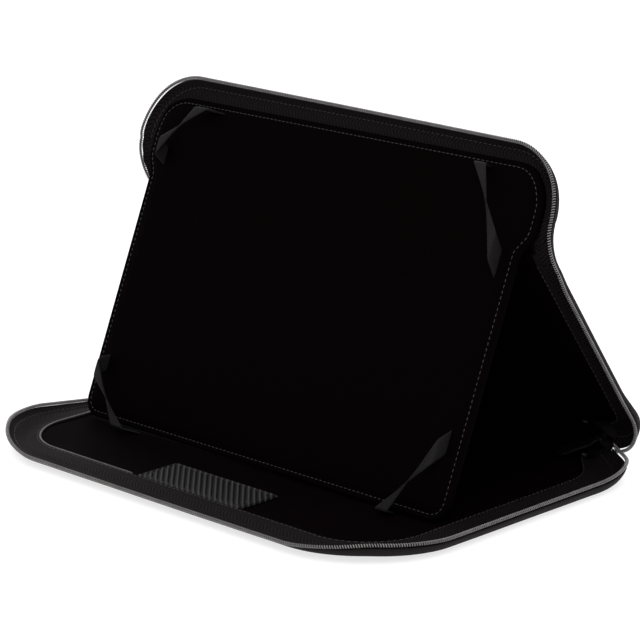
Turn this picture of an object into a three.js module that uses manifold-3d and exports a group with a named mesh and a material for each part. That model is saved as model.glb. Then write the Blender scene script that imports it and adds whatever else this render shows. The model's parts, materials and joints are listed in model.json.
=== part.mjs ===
// Zip-round folio case for a ten-inch tablet, folded into its stand position.
// Millimetres, +Z up, X across the case, Y from the front rim to the spine, origin on the table under its middle.
//
// The cover is a chain of stiffened fabric plates: base, spine, leg and head. Each plate is drawn in a flat
// frame of its own (x across, y away from the base, z from the outer skin inwards) and the frames are nested at
// their fold lines, so the whole chain lies flat when every fold is at 180 degrees.
import * as THREE from "three";
import { mergeVertices } from "three/addons/utils/BufferGeometryUtils.js";
import Module from "manifold-3d";

const wasm = await Module();
wasm.setup();

// ---- driving dimensions ----
const CASE_DEPTH = 219; // front zip to the outer face of the spine
const SPINE_HEIGHT = 22; // fold to fold, also the thickness of the closed case
const LEG_LENGTH = 140.8; // spine fold to crease
const HEAD_LENGTH = 34.8; // crease to the far edge of the head's flat floor
const SPINE_ANGLE = 90; // each plate's slope in the stand, from the table behind the case
const LEG_ANGLE = 126;
const HEAD_ANGLE = 67.45;
const FLOOR_HALF_WIDTH = 135; // flat floor of every plate, to the foot of its side wall
const SPINE_HALF_WIDTH = 106; // the corners beside the spine are rounded, so it is narrower than the plates
const FRONT_CORNER_RADIUS = 40;
const BACK_CORNER_RADIUS = 31;
const LEG_CORNER_RADIUS = 15;
const HEAD_CORNER_RADIUS = 23;
const SKIN = 1.0; // moulded outer skin
const GAP = 0.3; // between layers
const BOARD = 1.4; // stiffener board
const LINING = 0.8;
const LINING_BASE = SKIN + GAP + BOARD + GAP;
const FLOOR_TOP = LINING_BASE + LINING;
const FOLD_GAP = 2.5; // plate edge to fold line

// tablet panel, sewn to the inside of the head and hanging free below the crease
const PANEL_HALF_WIDTH = 132;
const PANEL_BACK = 5.2; // height of its back face over the head's outer skin
const PANEL_COVER = 0.9;
const PANEL_CORE = 1.6;
const PANEL_FRONT = PANEL_BACK + 2 * PANEL_COVER + PANEL_CORE + 2 * GAP;
const PANEL_FOOT = -144.6; // lower edge, from the crease
const PANEL_TOP = 32.5;

// the tablet that the straps are cut for
const TABLET_WIDTH = 243.1;
const TABLET_HEIGHT = 176.1;
const TABLET_THICKNESS = 8;
const TABLET_CENTRE = -57.5; // from the crease
const TABLET_FRONT = PANEL_FRONT + GAP + TABLET_THICKNESS;
const STRAP_WIDTH = 7;
const STRAP_THICKNESS = 0.8;
const STRAP_EASE = 0.3; // between strap and tablet

// side wall, as [distance out from the floor edge, height over the outer skin]
const SHELL_WALL = [
  [2, 0],
  [8, 0.3],
  [11.3, 1.7],
  [13.1, 4.2],
  [13.8, 6.2],
  [12.8, 6.5],
  [12, 4.8],
  [10.4, 2.9],
  [7.6, 1.5],
  [2, SKIN],
];
const TAPE_WALL = [
  [3.7, 2.05],
  [7.4, 2.4],
  [10.2, 3.85],
  [12, 5.85],
  [13, 7.3],
  [12.4, 7.7],
  [11.4, 6.25],
  [9.6, 4.4],
  [7, 3.1],
  [3.5, 2.75],
];
const COIL_CENTRE = [13.9, 8.9];
const COIL_RADIUS = 1.2;
const COIL_WALL = Array.from({ length: 6 }, (_, i) => [
  COIL_CENTRE[0] + COIL_RADIUS * Math.cos((i * Math.PI) / 3),
  COIL_CENTRE[1] + COIL_RADIUS * Math.sin((i * Math.PI) / 3),
]);
const RIM = COIL_CENTRE[0] + COIL_RADIUS; // rim of the zip outside the floor edge
const CORNER_STEPS = 8;

const FABRIC = { color: 0x17151a, roughness: 0.9, metalness: 0 };
const SMOOTH_FABRIC = { color: 0x1b181c, roughness: 0.85, metalness: 0 };
const LINING_FABRIC = { color: 0x141217, roughness: 0.95, metalness: 0 };
const TAPE_FABRIC = { color: 0x222025, roughness: 0.8, metalness: 0 };
const COIL_NYLON = { color: 0x2b2b2e, roughness: 0.45, metalness: 0 };
const BOARD_GREY = { color: 0x55514c, roughness: 0.9, metalness: 0 };
const ELASTIC = { color: 0x131315, roughness: 0.85, metalness: 0 };
const GRIP_RUBBER = { color: 0x2e2e30, roughness: 0.7, metalness: 0 };
const PULL_METAL = { color: 0x3a3a3d, roughness: 0.35, metalness: 0.9 };

const radians = THREE.MathUtils.degToRad;

/** A named mesh with a material of its own. */
function piece(name, geometry, look) {
  const mesh = new THREE.Mesh(geometry, new THREE.MeshStandardMaterial(look));
  mesh.name = name;
  return mesh;
}

/** The geometry with its shared vertices merged, turned to face outwards. */
function facingOut(geometry) {
  const merged = mergeVertices(geometry, 1e-4);
  const p = merged.attributes.position;
  const index = merged.index.array;
  const [a, b, c] = [new THREE.Vector3(), new THREE.Vector3(), new THREE.Vector3()];
  let volume = 0;
  for (let i = 0; i < index.length; i += 3) {
    a.fromBufferAttribute(p, index[i]);
    b.fromBufferAttribute(p, index[i + 1]);
    c.fromBufferAttribute(p, index[i + 2]);
    volume += a.dot(b.cross(c));
  }
  if (volume < 0) index.reverse();
  return merged;
}

/** A closed solid through rings of points that all have the same count, capped at both ends. */
function loft(rings) {
  const count = rings[0].length;
  const positions = rings.flat().flatMap((v) => [v.x, v.y, v.z]);
  const index = [];
  for (let r = 0; r + 1 < rings.length; r++) {
    for (let i = 0; i < count; i++) {
      const j = (i + 1) % count;
      const [p, q] = [r * count, (r + 1) * count];
      index.push(p + i, p + j, q + j, p + i, q + j, q + i);
    }
  }
  const last = (rings.length - 1) * count;
  for (const [start, flip] of [[0, true], [last, false]]) {
    const ring = rings[start / count];
    const normal = new THREE.Vector3();
    ring.forEach((v, i) => normal.add(v.clone().cross(ring[(i + 1) % count])));
    normal.normalize();
    const across = ring[1].clone().sub(ring[0]).projectOnPlane(normal).normalize();
    const up = normal.clone().cross(across);
    const flat = ring.map((v) => new THREE.Vector2(v.dot(across), v.dot(up)));
    for (const [a, b, c] of THREE.ShapeUtils.triangulateShape(flat, []))
      index.push(...(flip ? [start + c, start + b, start + a] : [start + a, start + b, start + c]));
  }
  const geometry = new THREE.BufferGeometry();
  geometry.setAttribute("position", new THREE.Float32BufferAttribute(positions, 3));
  geometry.setIndex(index);
  return facingOut(geometry);
}

/** manifold-3d's solid of a closed geometry. */
function solid(geometry) {
  const bare = geometry.clone();
  bare.deleteAttribute("normal");
  bare.deleteAttribute("uv");
  const merged = mergeVertices(bare, 1e-4);
  return new wasm.Manifold(
    new wasm.Mesh({
      numProp: 3,
      vertProperties: new Float32Array(merged.attributes.position.array),
      triVerts: new Uint32Array(merged.index.array),
    }),
  );
}

/** The BufferGeometry of a manifold-3d solid. */
function geometryOf(made) {
  const mesh = made.getMesh();
  const geometry = new THREE.BufferGeometry();
  geometry.setAttribute("position", new THREE.BufferAttribute(mesh.vertProperties, 3));
  geometry.setIndex(new THREE.BufferAttribute(mesh.triVerts, 1));
  return geometry.toNonIndexed();
}

/** Several closed geometries joined into one. */
function joined(...geometries) {
  return geometryOf(geometries.map(solid).reduce((a, b) => a.add(b)));
}

/** A rectangle with its near (low y) and far corners rounded, or square where the radius is 0, as a Shape. */
function roundedRectangle(half, near, far, nearRadius, farRadius) {
  const shape = new THREE.Shape();
  const turn = (side, y, towards, radius, from) => {
    if (radius) shape.absarc(side * (half - radius), y + towards * radius, radius, from, from + Math.PI / 2);
    else shape.lineTo(side * half, y);
  };
  shape.moveTo(-half + nearRadius, near);
  turn(1, near, 1, nearRadius, -Math.PI / 2);
  turn(1, far, -1, farRadius, 0);
  turn(-1, far, -1, farRadius, Math.PI / 2);
  if (nearRadius) turn(-1, near, 1, nearRadius, Math.PI);
  return shape;
}

/** A flat slab of a shape between two heights. */
function slab(shape, low, high) {
  const options = { depth: high - low, bevelEnabled: false, curveSegments: CORNER_STEPS };
  return new THREE.ExtrudeGeometry(shape, options).translate(0, 0, low);
}

/** A station on the edge of a plate: the point, the way out, and how far the wall spreads and rises there. */
function station(x, y, angle, spread = 1, rise = 1) {
  return { x, y, out: new THREE.Vector2(Math.cos(angle), Math.sin(angle)), spread, rise };
}

/** Stations round a corner between two outward angles, with [spread, rise] mixed from one end to the other. */
function corner(x, y, radius, from, to, start = [1, 1], end = start, steps = CORNER_STEPS) {
  const { lerp } = THREE.MathUtils;
  return Array.from({ length: steps + 1 }, (_, i) => {
    const t = i / steps;
    const angle = lerp(from, to, t);
    const [px, py] = [x + radius * Math.cos(angle), y + radius * Math.sin(angle)];
    return station(px, py, angle, lerp(start[0], end[0], t), lerp(start[1], end[1], t));
  });
}

/** Stations from one to another along a straight edge, the first left out. */
function onward(a, b, steps) {
  const angle = Math.atan2(a.out.y, a.out.x);
  return Array.from({ length: steps }, (_, i) => {
    const mix = (key) => THREE.MathUtils.lerp(a[key], b[key], (i + 1) / steps);
    return station(mix("x"), mix("y"), angle, mix("spread"), mix("rise"));
  });
}

/** A copy of a station, moved along its edge in the sense of a growing angle, with a new spread and rise. */
function moved({ x, y, out }, along, spread, rise) {
  return station(x - out.y * along, y + out.x * along, Math.atan2(out.y, out.x), spread, rise);
}

/** The same stations on the other side of the case, in the opposite order. */
function mirrored(stations) {
  return stations
    .map(({ x, y, out, spread, rise }) => station(-x, y, Math.atan2(out.y, -out.x), spread, rise))
    .reverse();
}

/** A wall profile carried along the stations, closed at both ends. */
function wall(stations, profile) {
  return loft(
    stations.map(({ x, y, out, spread, rise }) =>
      profile.map(([away, up]) => {
        const reach = 2 + (away - 2) * spread;
        return new THREE.Vector3(x + out.x * reach, y + out.y * reach, up * rise);
      }),
    ),
  );
}

/**
 * Skin, board and lining of one plate: each is a slab with rounded corners, and a tongue between two of them that
 * reaches the spine. The skin is joined to its walls. A fold edge is square.
 */
function plate(name, [near, far], [nearRadius, farRadius], tongue, walls) {
  const layer = (inset, low, high) => {
    const outline = roundedRectangle(
      FLOOR_HALF_WIDTH - inset,
      near + (nearRadius ? inset : 0),
      far - (farRadius ? inset : 0),
      nearRadius && nearRadius - inset,
      farRadius && farRadius - inset,
    );
    const reach = roundedRectangle(SPINE_HALF_WIDTH, ...tongue, 0, 0);
    return joined(slab(outline, low, high), slab(reach, low, high));
  };
  const group = new THREE.Group();
  group.add(
    piece(name + "_outer_shell", joined(layer(-2.4, 0, SKIN), ...walls), FABRIC),
    piece(name + "_stiffener", layer(0, SKIN + GAP, SKIN + GAP + BOARD), BOARD_GREY),
    piece(name + "_lining", layer(-1.6, LINING_BASE, FLOOR_TOP), LINING_FABRIC),
  );
  return group;
}

// ---- base: the front cover, flat on the table ----
const SPINE_Y = CASE_DEPTH / 2;
const FLOOR_FRONT = -CASE_DEPTH / 2 + RIM; // front edge of the flat floor
const FLOOR_BACK = SPINE_Y - 3.5 - RIM; // back edge of the floor beside the spine
const TONGUE_BACK = SPINE_Y - FLOOR_TOP - GAP; // short of the spine by its thickness
const TAIL_ANGLE = radians(42); // the outward angle where the zip leaves each back corner in a straight tail
const TAIL_LENGTH = 22;
const FRONT_SAG = 0.6; // rise of the soft zip wall in the middle of the front
const SIDE_RISE = 0.93;
const LEFT_SAG = 0.55; // and in the middle of the left side
const SAG_FROM_CORNER = 45; // from the end of the front corner

// right half of the edge from the middle of the front, then the tail beside the spine
const backCorner = corner(
  FLOOR_HALF_WIDTH - BACK_CORNER_RADIUS,
  FLOOR_BACK - BACK_CORNER_RADIUS,
  BACK_CORNER_RADIUS,
  0,
  TAIL_ANGLE,
  [1, SIDE_RISE],
  [0.85, 1.2],
  6,
);
const tail = onward(backCorner.at(-1), moved(backCorner.at(-1), TAIL_LENGTH, 0.6, 1.7), 5);
const frontCorner = (middleRise) => {
  const [x, y] = [FLOOR_HALF_WIDTH - FRONT_CORNER_RADIUS, FLOOR_FRONT + FRONT_CORNER_RADIUS];
  const eighth = (from, start, end) =>
    corner(x, y, FRONT_CORNER_RADIUS, from, from + Math.PI / 4, [1, start], [1, end], 4);
  return [
    ...eighth(-Math.PI / 2, FRONT_SAG, middleRise),
    ...eighth(-Math.PI / 4, middleRise, SIDE_RISE).slice(1),
  ];
};
const rightEdge = [...frontCorner(1.2), ...backCorner, ...tail];
const leftFront = frontCorner(0.8);
const sag = moved(leftFront.at(-1), SAG_FROM_CORNER, 1, LEFT_SAG);
const leftEdge = [
  ...leftFront,
  ...onward(leftFront.at(-1), sag, 4),
  ...onward(sag, backCorner[0], 4),
  ...backCorner.slice(1),
  ...tail,
];
const baseEdge = [...mirrored(leftEdge), ...rightEdge];

function base() {
  const group = plate(
    "base",
    [FLOOR_FRONT, FLOOR_BACK],
    [FRONT_CORNER_RADIUS, BACK_CORNER_RADIUS],
    [0, TONGUE_BACK],
    [wall(baseEdge, SHELL_WALL)],
  );
  group.add(
    piece("base_zipper_tape", wall(baseEdge, TAPE_WALL), TAPE_FABRIC),
    piece("base_zipper_coil", wall(baseEdge, COIL_WALL), COIL_NYLON),
    piece("base_fold_strip", foldStrip(SPINE_HALF_WIDTH, TONGUE_BACK + GAP, SPINE_Y - GAP), FABRIC),
    gripPad(),
    zipperStop("base_zipper_stop", baseEdge[0], baseEdge[1]),
  );
  return group;
}

/** The woven strip that joins two plates at a fold, up to the fold line. */
function foldStrip(half, from, to) {
  return slab(roundedRectangle(half - 1, from, to, 0, 0), 0, 0.8);
}

/** Rubber pad on the base lining, which the edge of the tablet panel grips. */
function gripPad() {
  const [width, depth, thickness, x, y] = [74, 28, 1, 5, -74];
  const outline = roundedRectangle(width / 2, -depth / 2, depth / 2, 2, 2);
  return piece("base_grip_pad", slab(outline, 0, thickness).translate(x, y, FLOOR_TOP + GAP), GRIP_RUBBER);
}

/** Where the middle of the zip's row passes a station. */
function rowPoint({ x, y, out, spread, rise }) {
  const reach = 2 + (COIL_CENTRE[0] - 2) * spread;
  return new THREE.Vector3(x + out.x * reach, y + out.y * reach, COIL_CENTRE[1] * rise);
}

/** Metal clip that ends a row of the zip, just past its last tooth. */
function zipperStop(name, last, previous) {
  const clip = new THREE.Mesh(new THREE.BoxGeometry(3.4, 3, 3.4), new THREE.MeshStandardMaterial(PULL_METAL));
  const along = rowPoint(last).sub(rowPoint(previous)).normalize();
  clip.name = name;
  clip.position.copy(rowPoint(last)).addScaledVector(along, 1.9);
  clip.quaternion.setFromUnitVectors(new THREE.Vector3(0, 1, 0), along);
  return clip;
}

// ---- spine ----
function spine() {
  const [near, far] = [1.2, SPINE_HEIGHT - FOLD_GAP];
  const half = SPINE_HALF_WIDTH;
  const group = new THREE.Group();
  const layer = (inset, low, high) => slab(roundedRectangle(half - inset, near, far, 0, 0), low, high);
  group.add(
    piece("spine_cover", layer(0, 0, SKIN), FABRIC),
    piece("spine_stiffener", layer(2, SKIN + GAP, SKIN + GAP + BOARD), BOARD_GREY),
    piece("spine_lining", layer(0.5, LINING_BASE, FLOOR_TOP), LINING_FABRIC),
    piece("spine_fold_strip", foldStrip(half, far + GAP, SPINE_HEIGHT - GAP), FABRIC),
  );
  return group;
}

// ---- leg: the lower part of the back cover, which props the stand ----
const LEG_FOOT = 14; // near edge of the floor beside the spine
const legCorner = corner(
  FLOOR_HALF_WIDTH - LEG_CORNER_RADIUS,
  LEG_FOOT + LEG_CORNER_RADIUS,
  LEG_CORNER_RADIUS,
  radians(-50),
  0,
  [0.85, 1.2],
  [1, 1],
);
const legCrease = station(FLOOR_HALF_WIDTH, LEG_LENGTH - 6, 0, 1.05, 0.65);
const rightLegEdge = [...legCorner, ...onward(legCorner.at(-1), legCrease, 8)];
const leftLegEdge = mirrored(rightLegEdge);

function leg() {
  const edges = { left: leftLegEdge, right: rightLegEdge };
  const group = plate(
    "leg",
    [LEG_FOOT, LEG_LENGTH - FOLD_GAP],
    [LEG_CORNER_RADIUS, 0],
    [FOLD_GAP, LEG_LENGTH / 2],
    Object.values(edges).map((edge) => wall(edge, SHELL_WALL)),
  );
  for (const [side, edge] of Object.entries(edges))
    group.add(
      piece("leg_zipper_tape_" + side, wall(edge, TAPE_WALL), TAPE_FABRIC),
      piece("leg_zipper_coil_" + side, wall(edge, COIL_WALL), COIL_NYLON),
    );
  group.add(
    piece("leg_fold_strip", foldStrip(FLOOR_HALF_WIDTH, LEG_LENGTH - FOLD_GAP + GAP, LEG_LENGTH - GAP), FABRIC),
    zipperStop("leg_zipper_stop", leftLegEdge.at(-1), leftLegEdge.at(-2)),
  );
  return group;
}

// ---- head: the upper part of the back cover, with the tablet panel ----
const headRight = [
  station(FLOOR_HALF_WIDTH, 4, 0, 1.05, 0.75),
  ...corner(
    FLOOR_HALF_WIDTH - HEAD_CORNER_RADIUS,
    HEAD_LENGTH - HEAD_CORNER_RADIUS,
    HEAD_CORNER_RADIUS,
    0,
    Math.PI / 2,
  ),
];
const headEdge = [...headRight, ...mirrored(headRight)];

function head() {
  const group = new THREE.Group();
  const floor = (inset) =>
    roundedRectangle(
      FLOOR_HALF_WIDTH - inset,
      FOLD_GAP / 5,
      HEAD_LENGTH - inset,
      0,
      HEAD_CORNER_RADIUS - inset,
    );
  group.add(
    piece("head_outer_shell", joined(slab(floor(-2.4), 0, SKIN), wall(headEdge, SHELL_WALL)), FABRIC),
    piece("head_stiffener", slab(floor(0), SKIN + GAP, SKIN + GAP + BOARD), BOARD_GREY),
    piece("head_zipper_tape", wall(headEdge, TAPE_WALL), TAPE_FABRIC),
    piece("head_zipper_coil", wall(headEdge, COIL_WALL), COIL_NYLON),
    panel(),
    straps(),
  );
  return group;
}

/** Face cover, board and back cover of the tablet panel. */
function panel() {
  const group = new THREE.Group();
  const outline = (inset) =>
    roundedRectangle(PANEL_HALF_WIDTH - inset, PANEL_FOOT + inset, PANEL_TOP - inset, 10 - inset, 20 - inset);
  const layer = (name, inset, low, thickness, look) =>
    group.add(piece(name, slab(outline(inset), low, low + thickness), look));
  layer("panel_back_cover", 0, PANEL_BACK, PANEL_COVER, SMOOTH_FABRIC);
  layer("panel_board", 1.5, PANEL_BACK + PANEL_COVER + GAP, PANEL_CORE, BOARD_GREY);
  layer("panel_face_cover", 0, PANEL_FRONT - PANEL_COVER, PANEL_COVER, SMOOTH_FABRIC);
  return group;
}

/**
 * A corner strap: an elastic ribbon that rises from the panel beside one edge of the tablet, crosses the corner
 * over the tablet's face and goes down beside the other edge. Every ring of the loft is parallel to the edge it
 * is next to, so the ribbon turns over the edge as a straight band does.
 */
function strap(name, sideX, sideY, alongX, alongY) {
  const reachX = TABLET_WIDTH / 2 + STRAP_EASE;
  const reachY = TABLET_HEIGHT / 2 + STRAP_EASE;
  const slope = new THREE.Vector2(reachX - alongX, reachY - alongY);
  const length = slope.length();
  const cutX = (STRAP_WIDTH * length) / slope.y / 2; // half the ribbon's cut along the upper or lower edge
  const cutY = (STRAP_WIDTH * length) / slope.x / 2; // and along the side edge
  const foot = PANEL_FRONT + GAP;
  const face = TABLET_FRONT + STRAP_EASE;
  const drop = face - foot;
  const t = STRAP_THICKNESS;
  const point = (x, y, z) => new THREE.Vector3(sideX * x, TABLET_CENTRE + sideY * y, z);
  // the two borders of the band, from the upper or lower edge to the side edge
  const besideY = (out, z, shift) => [
    point(alongX - cutX - shift, reachY, z),
    point(alongX + cutX - shift, reachY, z),
    point(alongX + cutX - shift, reachY + out, z),
    point(alongX - cutX - shift, reachY + out, z),
  ];
  const besideX = (out, z, shift) => [
    point(reachX, alongY - cutY - shift, z),
    point(reachX, alongY + cutY - shift, z),
    point(reachX + out, alongY + cutY - shift, z),
    point(reachX + out, alongY - cutY - shift, z),
  ];
  const shiftX = (drop * slope.x) / slope.y;
  const shiftY = (drop * slope.y) / slope.x;
  const upper = loft([besideY(t, foot, shiftX * 0.5), besideY(t, face + t, 0)]);
  const side = loft([besideX(t, foot, shiftY * 0.5), besideX(t, face + t, 0)]);
  const lift = (z) => [
    point(alongX - cutX, reachY + t * 0.5, z),
    point(alongX + cutX, reachY + t * 0.5, z),
    point(reachX + t * 0.5, alongY + cutY, z),
    point(reachX + t * 0.5, alongY - cutY, z),
  ];
  return piece(name, joined(upper, loft([lift(face), lift(face + t)]), side), ELASTIC);
}

/** The straps at the tablet's corners. */
function straps() {
  const group = new THREE.Group();
  group.add(
    strap("strap_top_left", -1, 1, 97, 64),
    strap("strap_top_right", 1, 1, 101, 50),
    strap("strap_bottom_left", -1, -1, 94, 61),
    strap("strap_bottom_right", 1, -1, 99, 54),
  );
  return group;
}

// ---- zip slider and its pull, at the right end of the row on the base ----
const SLIDER_LENGTH = 9;
const SLIDER_INNER = 2.2; // from the row to the slider's two long edges
const SLIDER_OUTER = 3.6;
const SLIDER_HEIGHT = 5;
const SLIDER_ROLL = 48; // slope of the tape where the wall stands up
const ROD_RADIUS = 0.45;
const ROD_HEIGHT = SLIDER_HEIGHT / 2 + 1.9;
const POST_SPACING = 4.6;

/** The slider wraps the straight end of the row; in its own frame y runs along the row and z faces the inside. */
function slider() {
  const end = rowPoint(baseEdge.at(-1));
  const along = end.clone().sub(rowPoint(baseEdge.at(-2))).normalize();
  const group = new THREE.Group();
  group.position.copy(end.clone().addScaledVector(along, -SLIDER_LENGTH / 2 - 1));
  const roll = new THREE.Quaternion().setFromAxisAngle(new THREE.Vector3(0, 1, 0), radians(-SLIDER_ROLL));
  group.quaternion.setFromUnitVectors(new THREE.Vector3(0, 1, 0), along).multiply(roll);
  const [tip, shoulder] = [SLIDER_LENGTH / 2, SLIDER_LENGTH / 2 - 2.5];
  const plan = new THREE.Shape();
  plan.moveTo(-SLIDER_INNER + 0.8, -tip);
  plan.lineTo(SLIDER_OUTER - 1.2, -tip);
  plan.lineTo(SLIDER_OUTER, shoulder);
  plan.lineTo(SLIDER_OUTER - 0.8, tip);
  plan.lineTo(-SLIDER_INNER + 0.8, tip);
  plan.lineTo(-SLIDER_INNER, shoulder);
  const block = solid(slab(plan, -SLIDER_HEIGHT / 2, SLIDER_HEIGHT / 2));
  const channelWidth = 2 * SLIDER_INNER;
  const channel = new THREE.BoxGeometry(channelWidth + 2, 2 * SLIDER_LENGTH, 2 * (COIL_RADIUS + GAP));
  const body = block.subtract(solid(channel.translate(1.7 - channelWidth / 2 - 1, 0, 0)));
  const post = new THREE.BoxGeometry(1.4, 0.9, 2.9).translate(0, 0, SLIDER_HEIGHT / 2 + 1.3);
  const posts = [-1, 1].map((side) => solid(post.clone().translate(0, (side * POST_SPACING) / 2, 0)));
  const rod = new THREE.CylinderGeometry(ROD_RADIUS, ROD_RADIUS, POST_SPACING, 12);
  const parts = [...posts, solid(rod.translate(0, 0, ROD_HEIGHT))];
  group.add(piece("zipper_slider", geometryOf(parts.reduce((a, b) => a.add(b), body)), PULL_METAL));
  group.add(pull());
  return group;
}

/** The pull tab turns on the slider's rod by a knuckle, and slopes down to the lining inside the case. */
function pull() {
  const [length, width, thickness, lift] = [24, 6.4, 1.1, 33];
  const knuckleRadius = 1.3;
  const knuckleLength = POST_SPACING - 1.5;
  const shape = new THREE.Shape();
  shape.moveTo(-0.9, -knuckleLength / 2 + 0.2);
  shape.lineTo(-0.9, knuckleLength / 2 - 0.2);
  shape.lineTo(-3.5, knuckleLength / 2 - 0.2);
  shape.lineTo(-6, width / 2);
  shape.lineTo(-length + width / 2, width / 2);
  shape.absarc(-length + width / 2, 0, width / 2, Math.PI / 2, 1.5 * Math.PI);
  shape.lineTo(-6, -width / 2);
  shape.lineTo(-3.5, -knuckleLength / 2 + 0.2);
  const knuckle = solid(new THREE.CylinderGeometry(knuckleRadius, knuckleRadius, knuckleLength, 16));
  const bore = solid(new THREE.CylinderGeometry(ROD_RADIUS + GAP, ROD_RADIUS + GAP, 2 * knuckleLength, 16));
  const made = solid(slab(shape, -thickness / 2, thickness / 2)).add(knuckle).subtract(bore);
  const tab = piece("zipper_pull", geometryOf(made), PULL_METAL);
  tab.position.set(0, 0, ROD_HEIGHT);
  tab.rotation.y = radians(lift);
  return tab;
}

// ---- assembly ----
const tabletCase = new THREE.Group();
tabletCase.name = "tablet_case";
tabletCase.add(base(), slider());

const spineFrame = spine();
spineFrame.position.set(0, SPINE_Y, 0);
spineFrame.rotation.x = radians(SPINE_ANGLE);
tabletCase.add(spineFrame);

const legFrame = leg();
legFrame.position.set(0, SPINE_HEIGHT, 0);
legFrame.rotation.x = radians(LEG_ANGLE - SPINE_ANGLE);
spineFrame.add(legFrame);

const headFrame = head();
headFrame.position.set(0, LEG_LENGTH, 0);
headFrame.rotation.x = radians(HEAD_ANGLE - LEG_ANGLE);
legFrame.add(headFrame);

export default tabletCase;
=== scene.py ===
"""A zip-round tablet case folded into its stand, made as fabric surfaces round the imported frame.

The cover is a chain of plates: base, spine, leg and head. Each plate has a flat frame of its own in
millimetres: x across the case, y away from the base, z from the outer skin inwards. Plate.place turns it
into the row frame.
"""
import json
import logging
import math
from collections.abc import Sequence
from dataclasses import dataclass, field
from enum import Enum

import bmesh
import bpy
import numpy as np
from mathutils import Matrix, Vector


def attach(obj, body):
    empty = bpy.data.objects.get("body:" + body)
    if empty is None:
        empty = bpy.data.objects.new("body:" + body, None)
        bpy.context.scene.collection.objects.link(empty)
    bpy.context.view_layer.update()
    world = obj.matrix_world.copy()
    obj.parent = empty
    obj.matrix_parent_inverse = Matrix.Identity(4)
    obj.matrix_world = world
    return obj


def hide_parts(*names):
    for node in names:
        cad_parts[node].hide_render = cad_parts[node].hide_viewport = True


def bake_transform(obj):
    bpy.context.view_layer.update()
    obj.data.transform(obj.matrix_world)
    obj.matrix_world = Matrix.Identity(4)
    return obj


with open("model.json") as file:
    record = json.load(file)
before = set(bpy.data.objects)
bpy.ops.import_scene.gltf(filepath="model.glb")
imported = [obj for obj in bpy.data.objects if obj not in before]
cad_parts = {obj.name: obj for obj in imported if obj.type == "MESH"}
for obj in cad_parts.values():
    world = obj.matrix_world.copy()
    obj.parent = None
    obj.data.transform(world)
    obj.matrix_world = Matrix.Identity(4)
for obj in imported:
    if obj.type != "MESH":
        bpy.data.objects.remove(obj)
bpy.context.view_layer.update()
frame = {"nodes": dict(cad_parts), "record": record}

MM = 0.001
JOINTS = {joint["name"]: joint for joint in frame["record"]["behaviour"]["joints"]}
LOG = logging.getLogger("tablet_case")
UV_NAME = "weave"
Array = np.ndarray


# ---- small mathematics ----
def ramp(x: Array | float, low: float, high: float) -> Array:
    """A smooth step from 0 at low to 1 at high: 3t^2 - 2t^3 of the share of the way.

    Args:
        x: The values.
        low: Where it leaves 0.
        high: Where it reaches 1.

    Returns:
        The steps, from 0 to 1.
    """
    t = np.clip((np.asarray(x, float) - low) / (high - low), 0, 1)
    return t * t * (3 - 2 * t)


def unit(vectors: Array) -> Array:
    """The vectors divided by their lengths."""
    return vectors / np.maximum(np.linalg.norm(vectors, axis=-1, keepdims=True), 1e-12)


def running_sum(steps: Array) -> Array:
    """The running sum of the steps, 0 before the first."""
    return np.concatenate([[0], np.cumsum(steps)])


def lengths_along(points: Array) -> Array:
    """The distance walked along a line of points, 0 at the first."""
    return running_sum(np.linalg.norm(np.diff(points, axis=0), axis=-1))


def resampled(points: Array, count: int) -> Array:
    """The same line with its points evenly spaced: each coordinate is read off at equal shares of the length.

    Args:
        points: The line.
        count: How many points it gets.

    Returns:
        The evenly spaced line.
    """
    walked = lengths_along(points)
    at = np.linspace(0, walked[-1], count)
    return np.stack([np.interp(at, walked, points[:, k]) for k in range(points.shape[1])], -1)


def smooth_through(points: Array, count: int) -> Array:
    """A curve through the points: between each two, a cubic whose slopes are half its neighbours' chord.

    Args:
        points: The points to pass through.
        count: How many points the curve gets, spaced evenly over the intervals.

    Returns:
        The curve's points.
    """
    p = np.asarray(points, float)
    slope = np.gradient(p, axis=0)
    at = np.linspace(0, len(p) - 1, count)
    i = np.minimum(at.astype(int), len(p) - 2)
    t = (at - i)[:, None]
    h00, h10 = 2 * t**3 - 3 * t**2 + 1, t**3 - 2 * t**2 + t
    return h00 * p[i] + h10 * slope[i] + (1 - h00) * p[i + 1] + (t**3 - t**2) * slope[i + 1]


def waves(points: Array, length: float, seed: int) -> Array:
    """Soft unevenness from -1 to 1: the mean of six sine waves in fixed pseudo-random directions.

    Args:
        points: Where, in metres.
        length: The waves' length, in metres.
        seed: Picks the directions and phases.

    Returns:
        One value for each point.
    """
    draw = np.random.default_rng(seed)
    directions = unit(draw.normal(size=(6, 3))) * (2 * math.pi / length) * draw.uniform(0.6, 1.5, (6, 1))
    return np.sin(points @ directions.T + draw.uniform(0, 2 * math.pi, 6)).mean(-1)


def filleted(corners: Array, radius: float, steps: int = 6) -> Array:
    """A polyline with each inner corner rounded by the quadratic curve that starts and ends radius away.

    Args:
        corners: The polyline's points.
        radius: How far from each corner the rounding starts, at most.
        steps: Points on each rounding.

    Returns:
        The rounded line.
    """
    line = [corners[0]]
    t = np.linspace(0, 1, steps)[:, None]
    for before, corner, after in zip(corners[:-2], corners[1:-1], corners[2:]):
        to, on = before - corner, after - corner
        start = corner + unit(to) * min(radius, np.linalg.norm(to) * 0.49)
        end = corner + unit(on) * min(radius, np.linalg.norm(on) * 0.49)
        line.extend((1 - t) ** 2 * start + 2 * t * (1 - t) * corner + t**2 * end)
    return np.array([*line, corners[-1]])


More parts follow.
